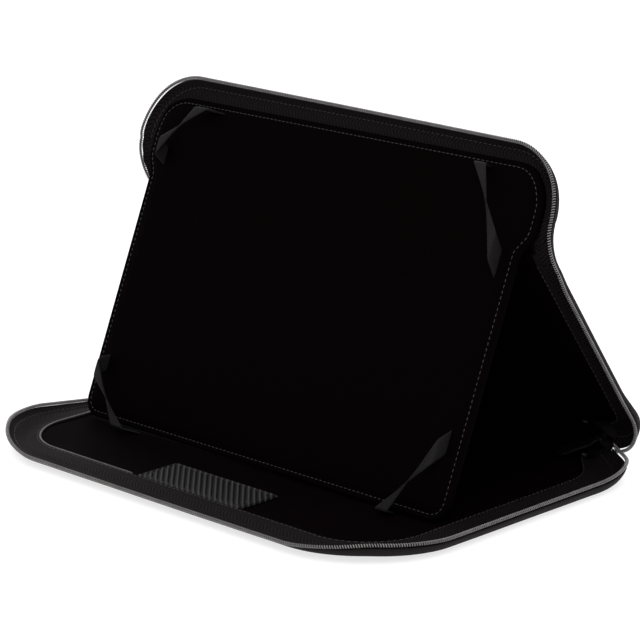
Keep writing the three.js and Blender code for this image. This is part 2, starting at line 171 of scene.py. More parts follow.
def bridge(first: Array, first_way: Array, last: Array, last_way: Array, steps: int) -> Array:
    """Rows that carry one section into another along cubic curves with the given tangents at both ends.

    Args:
        first: The section at the start, one row of points.
        first_way: Tangent at the start, for the row or for each point, with its length.
        last: The section at the end.
        last_way: Tangent at the end.
        steps: How many rows, the two sections included.

    Returns:
        The rows of points, shape (steps, points, 3).
    """
    t = np.linspace(0, 1, steps)[:, None, None]
    h00 = 2 * t**3 - 3 * t**2 + 1
    return h00 * first + (t**3 - 2 * t**2 + t) * first_way + (1 - h00) * last + (t**3 - t**2) * last_way


# ---- surfaces ----
@dataclass
class Surface:
    """Points in metres, faces as arrays of corners, and each corner's flat place in metres, for the weave."""

    points: Array
    faces: list[Array]
    flat: list[Array]

    @classmethod
    def grid(cls, rings: Array, flat: Array | None = None) -> "Surface":
        """The open skin over rings of points, whose flat place is the distance walked along and round them.

        Args:
            rings: Shape (rings, points round, 3).
            flat: Flat places of the points, where they aren't the distances walked.

        Returns:
            The surface, of quads.
        """
        rows, columns = rings.shape[:2]
        if flat is None:
            across = np.concatenate([rings, rings[:, :1]], 1)
            u = running_sum(np.linalg.norm(np.diff(rings, axis=0), axis=-1).mean(1))
            v = running_sum(np.linalg.norm(np.diff(across, axis=1), axis=-1).mean(0))
            flat = np.stack(np.meshgrid(u, v, indexing="ij"), -1)
        else:
            flat = np.concatenate([flat, flat[:, :1]], 1)
        i, j = np.meshgrid(np.arange(rows - 1), np.arange(columns), indexing="ij")
        corners = [(i, j), (i, j + 1), (i + 1, j + 1), (i + 1, j)]
        quads = np.stack([a * columns + b % columns for a, b in corners], -1).reshape(-1, 4)
        places = np.stack([flat[a, b] for a, b in corners], -2).reshape(-1, 4, 2)
        return cls(rings.reshape(-1, 3), [quads], [places])

    @classmethod
    def tube(cls, rings: Array) -> "Surface":
        """A closed tube over rings of points, capped at both ends with one face each.

        Args:
            rings: Shape (rings, points round, 3).

        Returns:
            The closed tube.
        """
        made = cls.grid(rings)
        rows, columns = rings.shape[:2]
        made.faces.append(np.stack([np.arange(columns)[::-1], (rows - 1) * columns + np.arange(columns)]))
        made.flat.append(np.zeros((2, columns, 2)))
        return made

    @classmethod
    def slab(cls, top: Array, under: Array) -> "Surface":
        """A closed sheet between two grids of points, joined along both sides and by quads at both ends.

        Args:
            top: The upper face, shape (rows, columns, 3).
            under: The lower face, of the same shape.

        Returns:
            The closed sheet.
        """
        rows, columns = top.shape[:2]
        made = cls.grid(np.concatenate([top, under[:, ::-1]], 1))
        j = np.arange(columns - 1)
        start = np.stack([j + 1, j, 2 * columns - 1 - j, 2 * columns - 2 - j], -1)
        end = (rows - 1) * 2 * columns + start[:, ::-1]
        made.faces.append(np.concatenate([start, end]))
        made.flat.append(np.zeros((2 * (columns - 1), 4, 2)))
        return made

    @classmethod
    def leaf(cls, points: Array, thickness: float | Array) -> "Surface":
        """A sheet with two faces: its middle surface moved half the thickness each way along its normals.

        Args:
            points: The middle surface, shape (rows, columns, 3).
            thickness: The thickness in metres, one number or one for each point.

        Returns:
            The closed sheet.
        """
        normal = unit(np.cross(np.gradient(points, axis=0), np.gradient(points, axis=1)))
        half = normal * (np.broadcast_to(thickness, points.shape[:2])[..., None] / 2)
        return cls.slab(points + half, points - half)

    @classmethod
    def rings(cls, rings: Array, flat: Array, first_pole: Array, last_pole: Array) -> "Surface":
        """A closed skin over rings that go round a shape, with a fan of triangles on each pole.

        Args:
            rings: Shape (rings, points round, 3).
            flat: Flat places, shape (rings, points round, 2).
            first_pole: The point inside the first ring.
            last_pole: The point inside the last ring.

        Returns:
            The closed skin.
        """
        made = cls.grid(rings, flat)
        count, around = rings.shape[:2]
        j = np.arange(around)
        following = (j + 1) % around
        first = np.stack([np.full(around, count * around), following, j], -1)
        base = (count - 1) * around
        last = np.stack([np.full(around, count * around + 1), base + j, base + following], -1)
        middle = flat[0].mean(0)
        flats = [
            np.stack([np.broadcast_to(middle, (around, 2)), flat[0][following], flat[0][j]], 1),
            np.stack([np.broadcast_to(middle, (around, 2)), flat[-1][j], flat[-1][following]], 1),
        ]
        made.points = np.concatenate([made.points, [first_pole, last_pole]])
        made.faces.append(np.concatenate([first, last]))
        made.flat.append(np.concatenate(flats))
        return made

    @classmethod
    def copies(cls, rings: Array) -> "Surface":
        """Many small closed tubes in one.

        Args:
            rings: Shape (copies, rings, points round, 3).

        Returns:
            The tubes as one surface.
        """
        count, rows, columns = rings.shape[:3]
        one = cls.tube(rings[0])
        step = (np.arange(count) * rows * columns)[:, None, None]
        faces = [(f[None] + step).reshape(-1, f.shape[1]) for f in one.faces]
        flat = [np.tile(f, (count, 1, 1)) for f in one.flat]
        return cls(rings.reshape(-1, 3), faces, flat)

    def outward(self) -> "Surface":
        """Turns all faces round if the volume that they hold is negative.

        Returns:
            This surface, with its faces outwards.
        """
        held = 0.0
        for f in self.faces:
            a = self.points[f[:, 0]]
            for k in range(1, f.shape[1] - 1):
                held += (a * np.cross(self.points[f[:, k]], self.points[f[:, k + 1]])).sum()
        if held < 0:
            self.faces = [f[:, ::-1] for f in self.faces]
            self.flat = [f[:, ::-1] for f in self.flat]
        return self

    def piece(self, name: str, finish: "Finish") -> bpy.types.Object:
        """A Blender object of the surface, dressed in a finish.

        Args:
            name: The piece's name.
            finish: What it is made of.

        Returns:
            The object, at the origin, with its place in its mesh.
        """
        mesh = bpy.data.meshes.new(name)
        sizes = np.concatenate([np.full(len(f), f.shape[1]) for f in self.faces])
        mesh.vertices.add(len(self.points))
        mesh.vertices.foreach_set("co", self.points.astype(np.float32).ravel())
        mesh.loops.add(int(sizes.sum()))
        corners = np.concatenate([f.ravel() for f in self.faces])
        mesh.loops.foreach_set("vertex_index", corners.astype(np.int32))
        mesh.polygons.add(len(sizes))
        mesh.polygons.foreach_set("loop_start", (np.cumsum(sizes) - sizes).astype(np.int32))
        mesh.polygons.foreach_set("use_smooth", np.ones(len(sizes), bool))
        mesh.update(calc_edges=True)
        uv = mesh.uv_layers.new(name=UV_NAME)
        uv.data.foreach_set("uv", np.concatenate([f.ravel() for f in self.flat]).astype(np.float32))
        mesh.materials.append(finish.material())
        made = bpy.data.objects.new(name, mesh)
        bpy.context.scene.collection.objects.link(made)
        return made


def cord_rings(path: Array, side: Array, radius: float, sides: int) -> Array:
    """Rings round a path, each a circle spanned by the side direction and the one square to it and the path.

    Args:
        path: The middle line, shape (points, 3), in metres.
        side: A direction across the path at each point.
        radius: The rings' radius.
        sides: Points round each ring.

    Returns:
        The rings, shape (points, sides, 3).
    """
    along = unit(np.gradient(path, axis=0))
    side = unit(side - (side * along).sum(-1, keepdims=True) * along)
    up = np.cross(along, side)
    turn = np.linspace(0, 2 * math.pi, sides, endpoint=False)[None, :, None]
    return path[:, None] + radius * (np.cos(turn) * side[:, None] + np.sin(turn) * up[:, None])


# ---- finishes ----
class Slot(Enum):
    """The record's material slots."""

    SHELL = "shell_fabric"
    PANEL = "panel_fabric"
    LINING = "lining_fabric"
    TAPE = "zipper_tape"
    COIL = "zipper_coil"
    BOARD = "stiffener_board"
    ELASTIC = "strap_elastic"
    RUBBER = "grip_rubber"
    METAL = "zipper_metal"


class Shader:
    """A material's node tree round one Principled shader, with short ways to add nodes."""

    def __init__(self, name: str) -> None:
        """Starts the material with its shader.

        Args:
            name: The material's name.
        """
        self.material = bpy.data.materials.new(name)
        self.material.use_nodes = True
        self.nodes = self.material.node_tree.nodes
        self.links = self.material.node_tree.links
        self.principled = self.nodes["Principled BSDF"]

    def node(
        self, kind: str, inputs: dict[str | int, object] | None = None, **settings: object
    ) -> bpy.types.Node:
        """Adds a node.

        Args:
            kind: The node's type.
            inputs: Socket name or number to a value, or to another node's output to link.
            settings: Attributes of the node.

        Returns:
            The node.
        """
        made = self.nodes.new(kind)
        for key, value in settings.items():
            setattr(made, key, value)
        for key, value in (inputs or {}).items():
            if isinstance(value, bpy.types.NodeSocket):
                self.links.new(value, made.inputs[key])
            else:
                made.inputs[key].default_value = value
        return made

    def math(self, operation: str, first: object, second: object = 0.0) -> bpy.types.NodeSocket:
        """A Math node's result."""
        return self.node("ShaderNodeMath", {0: first, 1: second}, operation=operation).outputs[0]

    def flat(self) -> tuple[bpy.types.NodeSocket, bpy.types.NodeSocket]:
        """The piece's own flat place.

        Returns:
            Metres along the piece, and metres across it.
        """
        place = self.node("ShaderNodeUVMap", uv_map=UV_NAME).outputs[0]
        split = self.node("ShaderNodeSeparateXYZ", {0: place})
        return split.outputs[0], split.outputs[1]

    def noise(
        self, scale: float, detail: float = 3.0, stretch: tuple[float, float, float] = (1, 1, 1)
    ) -> bpy.types.NodeSocket:
        """A noise value on Object coordinates.

        Args:
            scale: Features for each metre, about.
            detail: Octaves.
            stretch: Factors on the three axes.

        Returns:
            The noise's value output.
        """
        place = self.node("ShaderNodeTexCoord").outputs["Object"]
        mapped = self.node("ShaderNodeMapping", {"Vector": place, "Scale": stretch}).outputs[0]
        inputs = {"Vector": mapped, "Scale": scale, "Detail": detail}
        return self.node("ShaderNodeTexNoise", inputs).outputs[0]

    def stripes(self, along: object, period: float) -> bpy.types.NodeSocket:
        """A sine of a place in metres, from 0 to 1, once each period."""
        phase = self.math("MULTIPLY", along, 2 * math.pi / period)
        return self.math("MULTIPLY_ADD", self.math("SINE", phase), 0.5)

    def colour(self, mix: object, low: Sequence[float], high: Sequence[float]) -> None:
        """Colours the shader between two colours.

        Args:
            mix: A value from 0 to 1.
            low: The colour at 0, in linear light.
            high: The colour at 1.
        """
        node = self.node("ShaderNodeMix", {0: mix}, data_type="RGBA")
        node.inputs[6].default_value, node.inputs[7].default_value = (*low, 1), (*high, 1)
        self.links.new(node.outputs[2], self.principled.inputs["Base Color"])

    def rough(self, mix: object, low: float, high: float) -> None:
        """Sets the roughness between two values by a value from 0 to 1."""
        node = self.node("ShaderNodeMapRange", {"Value": mix, "To Min": low, "To Max": high})
        self.links.new(node.outputs[0], self.principled.inputs["Roughness"])

    def bump(self, *heights: tuple[object, float]) -> None:
        """Adds bumps, one over the other.

        Args:
            heights: For each, a height value from 0 to 1 and its depth in metres.
        """
        normal = None
        for height, depth in heights:
            inputs = {"Height": height, "Distance": depth, "Strength": 1.0}
            if normal is not None:
                inputs["Normal"] = normal
            normal = self.node("ShaderNodeBump", inputs).outputs[0]
        self.links.new(normal, self.principled.inputs["Normal"])

    def set(self, **values: float) -> None:
        """Sets uniform sockets of the shader, named with _ for each space."""
        for key, value in values.items():
            self.principled.inputs[key.replace("_", " ")].default_value = value


@dataclass(frozen=True)
class Finish:
    """What a piece is made of: a slot of the record and the two linear colours that it varies between."""

    name: str
    slot: Slot
    dark: tuple[float, float, float]
    light: tuple[float, float, float]

    def material(self) -> bpy.types.Material:
        """The material, made once and shared."""
        return bpy.data.materials.get(self.name) or self.made()

    def made(self) -> bpy.types.Material:
        """Builds the material.

        Returns:
            The new material.
        """
        shader = Shader(self.name)
        self.dress(shader)
        return shader.material

    def dress(self, shader: Shader) -> None:
        """Sets the shader's colour, roughness and bump."""
        shader.colour(shader.noise(60), self.dark, self.light)


@dataclass(frozen=True)
class PlainWeave(Finish):
    """Fabric of two crossing threads: the product of two sines, one thread each period, under faint fuzz."""

    thread: float = 0.0009
    depth: float = 0.00012
    gloss: tuple[float, float] = (0.62, 0.85)

    def dress(self, shader: Shader) -> None:
        """Crosses the threads and lets rubbed patches show lighter and smoother.

        Args:
            shader: The material's shader.
        """
        u, v = shader.flat()
        weave = shader.math("MULTIPLY", shader.stripes(u, self.thread), shader.stripes(v, self.thread))
        rub = shader.noise(28, 4)
        mixed = shader.math("ADD", shader.math("MULTIPLY", weave, 0.5), shader.math("MULTIPLY", rub, 0.6))
        shader.colour(mixed, self.dark, self.light)
        shader.rough(rub, *self.gloss)
        shader.bump((shader.noise(900, 2), self.depth * 0.5), (weave, self.depth))
        shader.set(Specular_IOR_Level=0.1)


@dataclass(frozen=True)
class BrushedCloth(Finish):
    """Smooth cloth with a short nap: fine noise for the nap and broad noise where a hand has turned it."""

    gloss: tuple[float, float] = (0.7, 0.95)

    def dress(self, shader: Shader) -> None:
        """Mixes nap and broad patches into colour, roughness and bump.

        Args:
            shader: The material's shader.
        """
        patches, nap = shader.noise(18, 5), shader.noise(1400, 2)
        mixed = shader.math("ADD", shader.math("MULTIPLY", patches, 0.7), shader.math("MULTIPLY", nap, 0.3))
        shader.colour(mixed, self.dark, self.light)
        shader.rough(patches, *self.gloss)
        shader.bump((patches, 0.0004), (nap, 0.00008))
        shader.set(Specular_IOR_Level=0.01)


@dataclass(frozen=True)
class Herringbone(Finish):
    """Woven tape: slanted ribs that change side every few millimetres across it, so that they zigzag."""

    rib: float = 0.0023
    column: float = 0.0046
    depth: float = 0.00025

    def dress(self, shader: Shader) -> None:
        """The ribs' phase is the way along the tape plus a zigzag of the way across it.

        Args:
            shader: The material's shader.
        """
        u, v = shader.flat()
        zigzag = shader.math("PINGPONG", v, self.column)
        ribs = shader.stripes(shader.math("ADD", u, shader.math("MULTIPLY", zigzag, 0.9)), self.rib)
        fuzz = shader.noise(700, 3)
        mixed = shader.math("ADD", shader.math("MULTIPLY", ribs, 0.75), shader.math("MULTIPLY", fuzz, 0.3))
        shader.colour(mixed, self.dark, self.light)
        shader.rough(fuzz, 0.6, 0.85)
        shader.bump((fuzz, 0.00005), (ribs, self.depth))
        shader.set(Specular_IOR_Level=0.05)


@dataclass(frozen=True)
class RibbedElastic(Finish):
    """Woven elastic: fine lengthwise cords crossed by much finer picks."""

    cord: float = 0.0009

    def dress(self, shader: Shader) -> None:
        """Cords run along the band, picks across it.

        Args:
            shader: The material's shader.
        """
        u, v = shader.flat()
        cords, picks = shader.stripes(v, self.cord), shader.stripes(u, self.cord * 0.6)
        mixed = shader.math("ADD", shader.math("MULTIPLY", cords, 0.7), shader.math("MULTIPLY", picks, 0.3))
        shader.colour(mixed, self.dark, self.light)
        shader.rough(shader.noise(300), 0.6, 0.8)
        shader.bump((picks, 0.00006), (cords, 0.00015))
        shader.set(Specular_IOR_Level=0.15)


@dataclass(frozen=True)
class Moulded(Finish):
    """Nylon, rubber or plated metal: a smooth surface with fine grain and rubbed places."""

    grain: float = 900
    depth: float = 0.00004
    gloss: tuple[float, float] = (0.35, 0.55)
    metal: float = 0
    specular: float = 0.5

    def dress(self, shader: Shader) -> None:
        """Mixes rubbing into colour and roughness, and grain into the bump.

        Args:
            shader: The material's shader.
        """
        rub, grain = shader.noise(240, 4), shader.noise(self.grain, 3)
        shader.colour(rub, self.dark, self.light)
        shader.rough(rub, *self.gloss)
        shader.bump((grain, self.depth))
        shader.set(Metallic=self.metal, Specular_IOR_Level=self.specular)


@dataclass(frozen=True)
class RibbedRubber(Finish):
    """Rubber with slanted ribs, lighter in patches on their tops and dark in the grooves between them."""

    pitch: float = 0.0028

    def dress(self, shader: Shader) -> None:
        """The ribs follow the sum of x and y, as the pad's own height does, and fine grain lies over them.

        Args:
            shader: The material's shader.
        """
        place = shader.node("ShaderNodeTexCoord").outputs["Object"]
        split = shader.node("ShaderNodeSeparateXYZ", {0: place})
        total = shader.math("ADD", split.outputs[0], split.outputs[1])
        slant = shader.math("MULTIPLY", total, math.sqrt(0.5))
        tops = shader.math("POWER", shader.stripes(slant, self.pitch), 3.0)
        rub, grain = shader.noise(90, 3), shader.noise(1200, 2)
        # Colour: lighter on the ribs' tops, in broad patches, and darkest in the grooves between them.
        lighter_rib_tops = shader.math("MULTIPLY", tops, shader.math("MULTIPLY_ADD", rub, 0.8))
        shader.colour(lighter_rib_tops, self.dark, self.light)
        shader.rough(rub, 0.55, 0.75)
        shader.bump((grain, 0.00005))
        shader.set(Specular_IOR_Level=0.12)


@dataclass(frozen=True)
class FibreBoard(Finish):
    """Grey board: flecks of fibre drawn out one way over a mottled ground."""

    def dress(self, shader: Shader) -> None:
        """Mixes stretched flecks into the mottling.

        Args:
            shader: The material's shader.
        """
        flecks, ground = shader.noise(500, 5, (1, 0.15, 1)), shader.noise(90, 4)
        shader.colour(shader.math("MULTIPLY", flecks, ground), self.dark, self.light)
        shader.rough(flecks, 0.8, 0.95)
        shader.bump((flecks, 0.00008))


SHELL_CLOTH = PlainWeave("shell_cloth", Slot.SHELL, (0.0022, 0.0014, 0.0014), (0.0085, 0.0063, 0.0062))
PANEL_CLOTH = BrushedCloth("panel_cloth", Slot.PANEL, (0.0003, 0.0001, 0.0001), (0.0016, 0.0007, 0.0009))
LINING_CLOTH = BrushedCloth("lining_cloth", Slot.LINING, (0.0004, 0.0001, 0.0002), (0.0022, 0.0008, 0.0012))
TAPE_WEAVE = Herringbone("tape_weave", Slot.TAPE, (0.0003, 0.0001, 0.0002), (0.0085, 0.0062, 0.0068))
ELASTIC_BAND = RibbedElastic("elastic_band", Slot.ELASTIC, (0.0008, 0.0006, 0.0006), (0.009, 0.0075, 0.008))
COIL_NYLON = Moulded("coil_nylon", Slot.COIL, (0.10, 0.095, 0.095), (0.26, 0.25, 0.25), gloss=(0.25, 0.4))
CORE_CORD = Moulded("core_cord", Slot.COIL, (0.001, 0.0008, 0.0008), (0.003, 0.0025, 0.0025), specular=0.1)
PIPING_CLOTH = Moulded("piping_cloth", Slot.TAPE, (0.006, 0.005, 0.005), (0.02, 0.018, 0.018), specular=0.3)
THREAD = Moulded("stitching_thread", Slot.PANEL, (0.012, 0.010, 0.010), (0.035, 0.031, 0.031), specular=0.3)
GRIP_RUBBER = RibbedRubber("ribbed_rubber", Slot.RUBBER, (0.0012, 0.001, 0.001), (0.034, 0.032, 0.033))
PLATED = Moulded(
    "plated_metal", Slot.METAL, (0.03, 0.03, 0.032), (0.09, 0.09, 0.095), 400, 0.00002, (0.22, 0.4), metal=1
)
GREY_BOARD = FibreBoard("grey_board", Slot.BOARD, (0.05, 0.045, 0.04), (0.13, 0.115, 0.10))


# ---- frames and outlines ----
@dataclass(frozen=True)
class Plate:
    """One plate's flat frame: the fold line's y and z in metres, and the plate's slope in degrees."""

    body: str
    fold: tuple[float, float]
    slope: float

    def place(self, points: Array) -> Array:
        """Turns flat points into the row frame: a turn by the slope about the fold line.

        Args:
            points: Flat points in millimetres, their last axis of three.

        Returns:
            The points in metres.
        """
        c, s = math.cos(math.radians(self.slope)), math.sin(math.radians(self.slope))
        across, away, inward = (MM * points[..., k] for k in range(3))
        y, z = self.fold[0] + away * c - inward * s, self.fold[1] + away * s + inward * c
        return np.stack([across, y, z], -1)

    def way(self, away: float, inward: float = 0) -> Array:
        """A direction in the row frame with the given parts along the plate and inwards, in millimetres."""
        return self.place(np.array([0.0, away, inward])) - self.place(np.zeros(3))


def hinge(name: str) -> tuple[float, float]:
    """The y and z of a joint's axis, in metres."""
    return tuple(JOINTS[name]["pos_m"][1:])


def slope_between(a: tuple[float, float], b: tuple[float, float]) -> float:
    """The slope of the line from a to b, in degrees."""
    return math.degrees(math.atan2(b[1] - a[1], b[0] - a[0]))


HEAD_SLOPE = slope_between(hinge("leg_fold"), hinge("crease_fold")) - JOINTS["crease_fold"]["range_deg"][1]
BASE = Plate("base", (0.0, 0.0), 0.0)
SPINE = Plate("spine", hinge("spine_fold"), slope_between(hinge("spine_fold"), hinge("leg_fold")))
LEG = Plate("leg", hinge("leg_fold"), slope_between(hinge("leg_fold"), hinge("crease_fold")))
HEAD = Plate("head", hinge("crease_fold"), HEAD_SLOPE)

# A place on the edge, and the wall's spread, rise, reach and lift there.
Key = tuple[float, float, float, float, float, float]


@dataclass
class Outline:
    """A plate's closed edge, sampled: points, outward normals, and the wall's spread, rise, reach, lift."""

    points: Array
    normals: Array
    keys: Array = field(default_factory=lambda: np.ones((1, 4)))

    @classmethod
    def rounded(cls, corners: Sequence[tuple[float, float, float]], step: float = 1.6) -> "Outline":
        """An outline with a fillet at each corner, walked so that the inside is on the left.

        Args:
            corners: x, y and fillet radius of each corner, in millimetres.
            step: About how far apart the samples are.

        Returns:
            The sampled outline.
        """
        vertex, radius = np.array(corners)[:, :2], np.array(corners)[:, 2]
        into = unit(vertex - np.roll(vertex, 1, 0))
        on = unit(np.roll(vertex, -1, 0) - vertex)
        turn = np.arctan2(into[:, 0] * on[:, 1] - into[:, 1] * on[:, 0], (into * on).sum(-1))
        tangent = (radius * np.tan(turn / 2))[:, None]
        start, end = vertex - into * tangent, vertex + on * tangent
        centre = start + radius[:, None] * np.stack([-into[:, 1], into[:, 0]], -1)
        points, normals = [], []
        for k, r in enumerate(radius):
            from_angle = math.atan2(-into[k, 0], into[k, 1])
            angle = from_angle + np.linspace(0, turn[k], max(3, round(r * turn[k] / step)), endpoint=False)
            away = np.stack([np.cos(angle), np.sin(angle)], -1)
            points.append(centre[k] + r * away)
            normals.append(away)
            run = start[(k + 1) % len(radius)] - end[k]
            count = max(1, round(float(np.linalg.norm(run)) / step))
            points.append(end[k] + run * (np.arange(count) / count)[:, None])
            normals.append(np.broadcast_to([on[k, 1], -on[k, 0]], (count, 2)))
        return cls(np.concatenate(points), np.concatenate(normals))

    def keyed(self, right: Sequence[Key], left: Sequence[Key] = ()) -> "Outline":
        """Sets spread, rise, reach and lift from keys on the edge, mixed by distance and smoothed.

        Args:
            right: x, y, spread, rise, reach and lift of each key on the right half.
            left: The keys of the left half where they aren't those of the right, mirrored.

        Returns:
            This outline.
        """
        mirrored = [(-x, *rest) for x, *rest in right]
        keys = np.array([*right, *(left or mirrored)])
        nearest = ((self.points[None] - keys[:, None, :2]) ** 2).sum(-1).argmin(1)
        around = running_sum(np.linalg.norm(np.roll(self.points, -1, 0) - self.points, axis=-1))
        order = np.argsort(nearest)
        at, whole = around[nearest[order]], around[-1]
        columns = [np.interp(around[:-1], at, keys[order, k], period=whole) for k in (2, 3, 4, 5)]
        window = np.hanning(9)[1:-1] / np.hanning(9).sum()
        pad = len(window) // 2
        self.keys = np.stack([np.convolve(np.pad(c, pad, mode="wrap"), window, "valid") for c in columns], -1)
        return self

    def run(self, first: Sequence[float], last: Sequence[float]) -> "Outline":
        """The open stretch between two samples, the way that the edge is walked.

        Args:
            first: The sample nearest this place starts it.
            last: The sample nearest this place ends it.

        Returns:
            The stretch.
        """
        a, b = (int(((self.points - np.array(p)) ** 2).sum(-1).argmin()) for p in (first, last))
        index = (a + np.arange((b - a) % len(self.points) + 1)) % len(self.points)
        return Outline(self.points[index], self.normals[index], self.keys[index])

    def section(self, profile: Array) -> Array:
        """Carries a wall profile along the edge.

        A point's way out beyond the floor grows with the spread and its way in with the reach. Its height is
        multiplied by the rise, fully 8 mm out and not at all 2 mm out, and the lift is added, fully 9 mm out.

        Args:
            profile: Distance out from the edge and height over the outer skin, in millimetres.

        Returns:
            Flat points, shape (samples, profile points, 3).
        """
        away, up = profile[:, 0], profile[:, 1]
        spread, rise, reach, lift = (self.keys[:, k, None] for k in range(4))
        out = np.minimum(away, 0) * reach + np.clip(away, 0, 2) + np.maximum(away - 2, 0) * spread
        height = up * (1 + (rise - 1) * ramp(away, 2, 8)) + lift * ramp(away, 0, 9)
        plan = self.points[:, None] + self.normals[:, None] * out[..., None]
        return np.concatenate([plan, height[..., None]], -1)


# ---- the wall that all plates share ----
SHELL_OUT = [(2, 0), (5, 0.05), (8, 0.3), (11.3, 1.7), (13.1, 4.2), (13.9, 6.3), (13.7, 6.9)]
SHELL_IN = [(13.0, 6.9), (12.6, 6.2), (12, 4.8), (10.4, 2.9), (7.6, 1.5), (5, 1.05), (2, 1)]
TAPE_LINE = [(-7, 4.6), (-4, 4.65), (-0.5, 4.3), (3.5, 3.5), (7.2, 3.1), (9.9, 4.1), (11.7, 6.0), (12.9, 7.9)]
OUT_POINTS, IN_POINTS, TAPE_POINTS = 19, 16, 22
TAPE_THICKNESS = 0.7
SEAM_AWAY, SEAM_UP = -7.0, 4.6
COIL_AWAY, COIL_UP = 13.9, 8.9
SKIN, FLOOR_TOP = 1.0, 3.8
LINING_LOW = FLOOR_TOP - 0.8
SPINE_EDGE = 104.5


def tape_profile() -> Array:
    """The zip tape's closed section: its line offset half the thickness one way, and back the other way.

    Returns:
        Distance out from the edge and height at each point; the first half of them is the one face.
    """
    line = smooth_through(TAPE_LINE, TAPE_POINTS)
    normal = unit(np.stack([-np.gradient(line[:, 1]), np.gradient(line[:, 0])], -1)) * TAPE_THICKNESS / 2
    return np.concatenate([line + normal, (line - normal)[::-1]])


def both_sides(right: Sequence[tuple[float, float, float]]) -> list[tuple[float, float, float]]:
    """The corners of the right half, and then their mirror images in the order that the edge is walked."""
    return [*right, *((-x, y, radius) for x, y, radius in reversed(right))]


@dataclass
class Wall:
    """Builds a plate's skin, tape, coil and piping from its outline."""

    plate: Plate
    outline: Outline
    centre: tuple[float, float]
    crown: float = 0.0
    floor_shares: tuple[float, ...] = (0.15, 0.4, 0.65, 0.85, 0.95, 1.0)
    wobble: float = 0.25 * MM
    wobble_length: float = 0.06
    half_span: float = 0.15
    lining_rings: int = 22

    def rings_of(self, profile: Array, height: float, bulge: float) -> tuple[Array, Array]:
        """Rings from the centre to the edge, then along a wall profile.

        Args:
            profile: The wall, from the floor outwards.
            height: The floor's height at its edge.
            bulge: How much higher its centre is; in between it follows 1 minus the share squared.

        Returns:
            Flat points of the rings, and their flat places.
        """
        shares = np.array(self.floor_shares)[:, None, None]
        edge, centre = self.outline.points, np.array(self.centre)
        floor = centre + shares * (edge - centre)
        level = np.broadcast_to(height + bulge * (1 - shares**2), (*floor.shape[:2], 1))
        wall = self.outline.section(profile).transpose(1, 0, 2)
        rings = np.concatenate([np.concatenate([floor, level], -1), wall])
        walked = lengths_along(profile)[:, None, None] + 2
        flat = np.concatenate([floor, edge + self.outline.normals * walked]) * MM
        return rings, flat

    def skin(self) -> Surface:
        """The moulded skin: out along its outer face, over the rim and back inside, softly uneven.

        Returns:
            The closed surface.
        """
        outer, outer_flat = self.rings_of(smooth_through(SHELL_OUT, OUT_POINTS), 0.0, -self.crown)
        inner, inner_flat = self.rings_of(smooth_through(SHELL_IN, IN_POINTS)[::-1], SKIN, 0.0)
        rings = self.plate.place(np.concatenate([outer, inner[::-1]]))
        outwards = (rings - rings.mean((0, 1))) / self.half_span
        wobble = self.wobble * waves(rings, self.wobble_length, seed=3)[..., None] * outwards
        if self.plate is BASE:
            wobble[..., 2] = 0
        poles = self.plate.place(np.array([[*self.centre, -self.crown], [*self.centre, SKIN]]))
        flat = np.concatenate([outer_flat, inner_flat[::-1]])
        return Surface.rings(rings + wobble, flat, *poles).outward()

    def lining(self, reach: float, sag: float) -> Surface:
        """The cloth over the floor: a thin closed cushion of rings, its top crowned and softly uneven.

        Args:
            reach: How far it stops short of the floor's edge, in millimetres.
            sag: Height of the unevenness, in millimetres.

        Returns:
            The closed surface.
        """
        shares, centre = np.linspace(0.08, 1, self.lining_rings), np.array(self.centre)
        edge = self.outline.points - self.outline.normals * (reach * self.outline.keys[:, 2:3])
        plan = centre + shares[:, None, None] * (edge - centre)
        uneven = sag / 2 * waves(np.dstack([plan, 0 * plan[..., 0]]) * MM, 0.075, seed=11)
        top = FLOOR_TOP + 0.1 + uneven + 0.3 * ramp(shares, 0.9, 1)[:, None]
        low = np.full_like(top, LINING_LOW)
        rings = np.concatenate([np.dstack([plan, top]), np.dstack([plan, low])[::-1]])
        flat = np.concatenate([plan, plan[::-1]]) * MM
        poles = np.array([[*self.centre, top[0].mean()], [*self.centre, LINING_LOW]])
        return Surface.rings(self.plate.place(rings), flat, *self.plate.place(poles)).outward()

    def tape_rings(self, run: Outline) -> Array:
        """Closed sections of the zip tape along a run, lifted a little by soft waves away from the seam.

        Args:
            run: The stretch of the outline.

        Returns:
            Points in the row frame, shape (samples, points round, 3).
        """
        points = self.plate.place(run.section(tape_profile()))
        line = smooth_through(TAPE_LINE, TAPE_POINTS)[:, 0]
        lift = 0.4 * MM * waves(points, 0.035, seed=7) * ramp(np.concatenate([line, line[::-1]]), -6, 4)
        return points + lift[..., None] * self.plate.way(0, 1000)

    def row(self, run: Outline, away: float = COIL_AWAY, up: float = COIL_UP) -> tuple[Array, Array]:
        """A line along the wall, and the direction across it.

        Args:
            run: The stretch of the outline.
            away: Distance out from the floor's edge.
            up: Height before the rise.

        Returns:
            The line in the row frame, and the way outwards at each point.
        """
        pair = self.plate.place(run.section(np.array([[away, up], [away + 1, up + 0.9]])))
        return pair[:, 0], unit(pair[:, 1] - pair[:, 0])


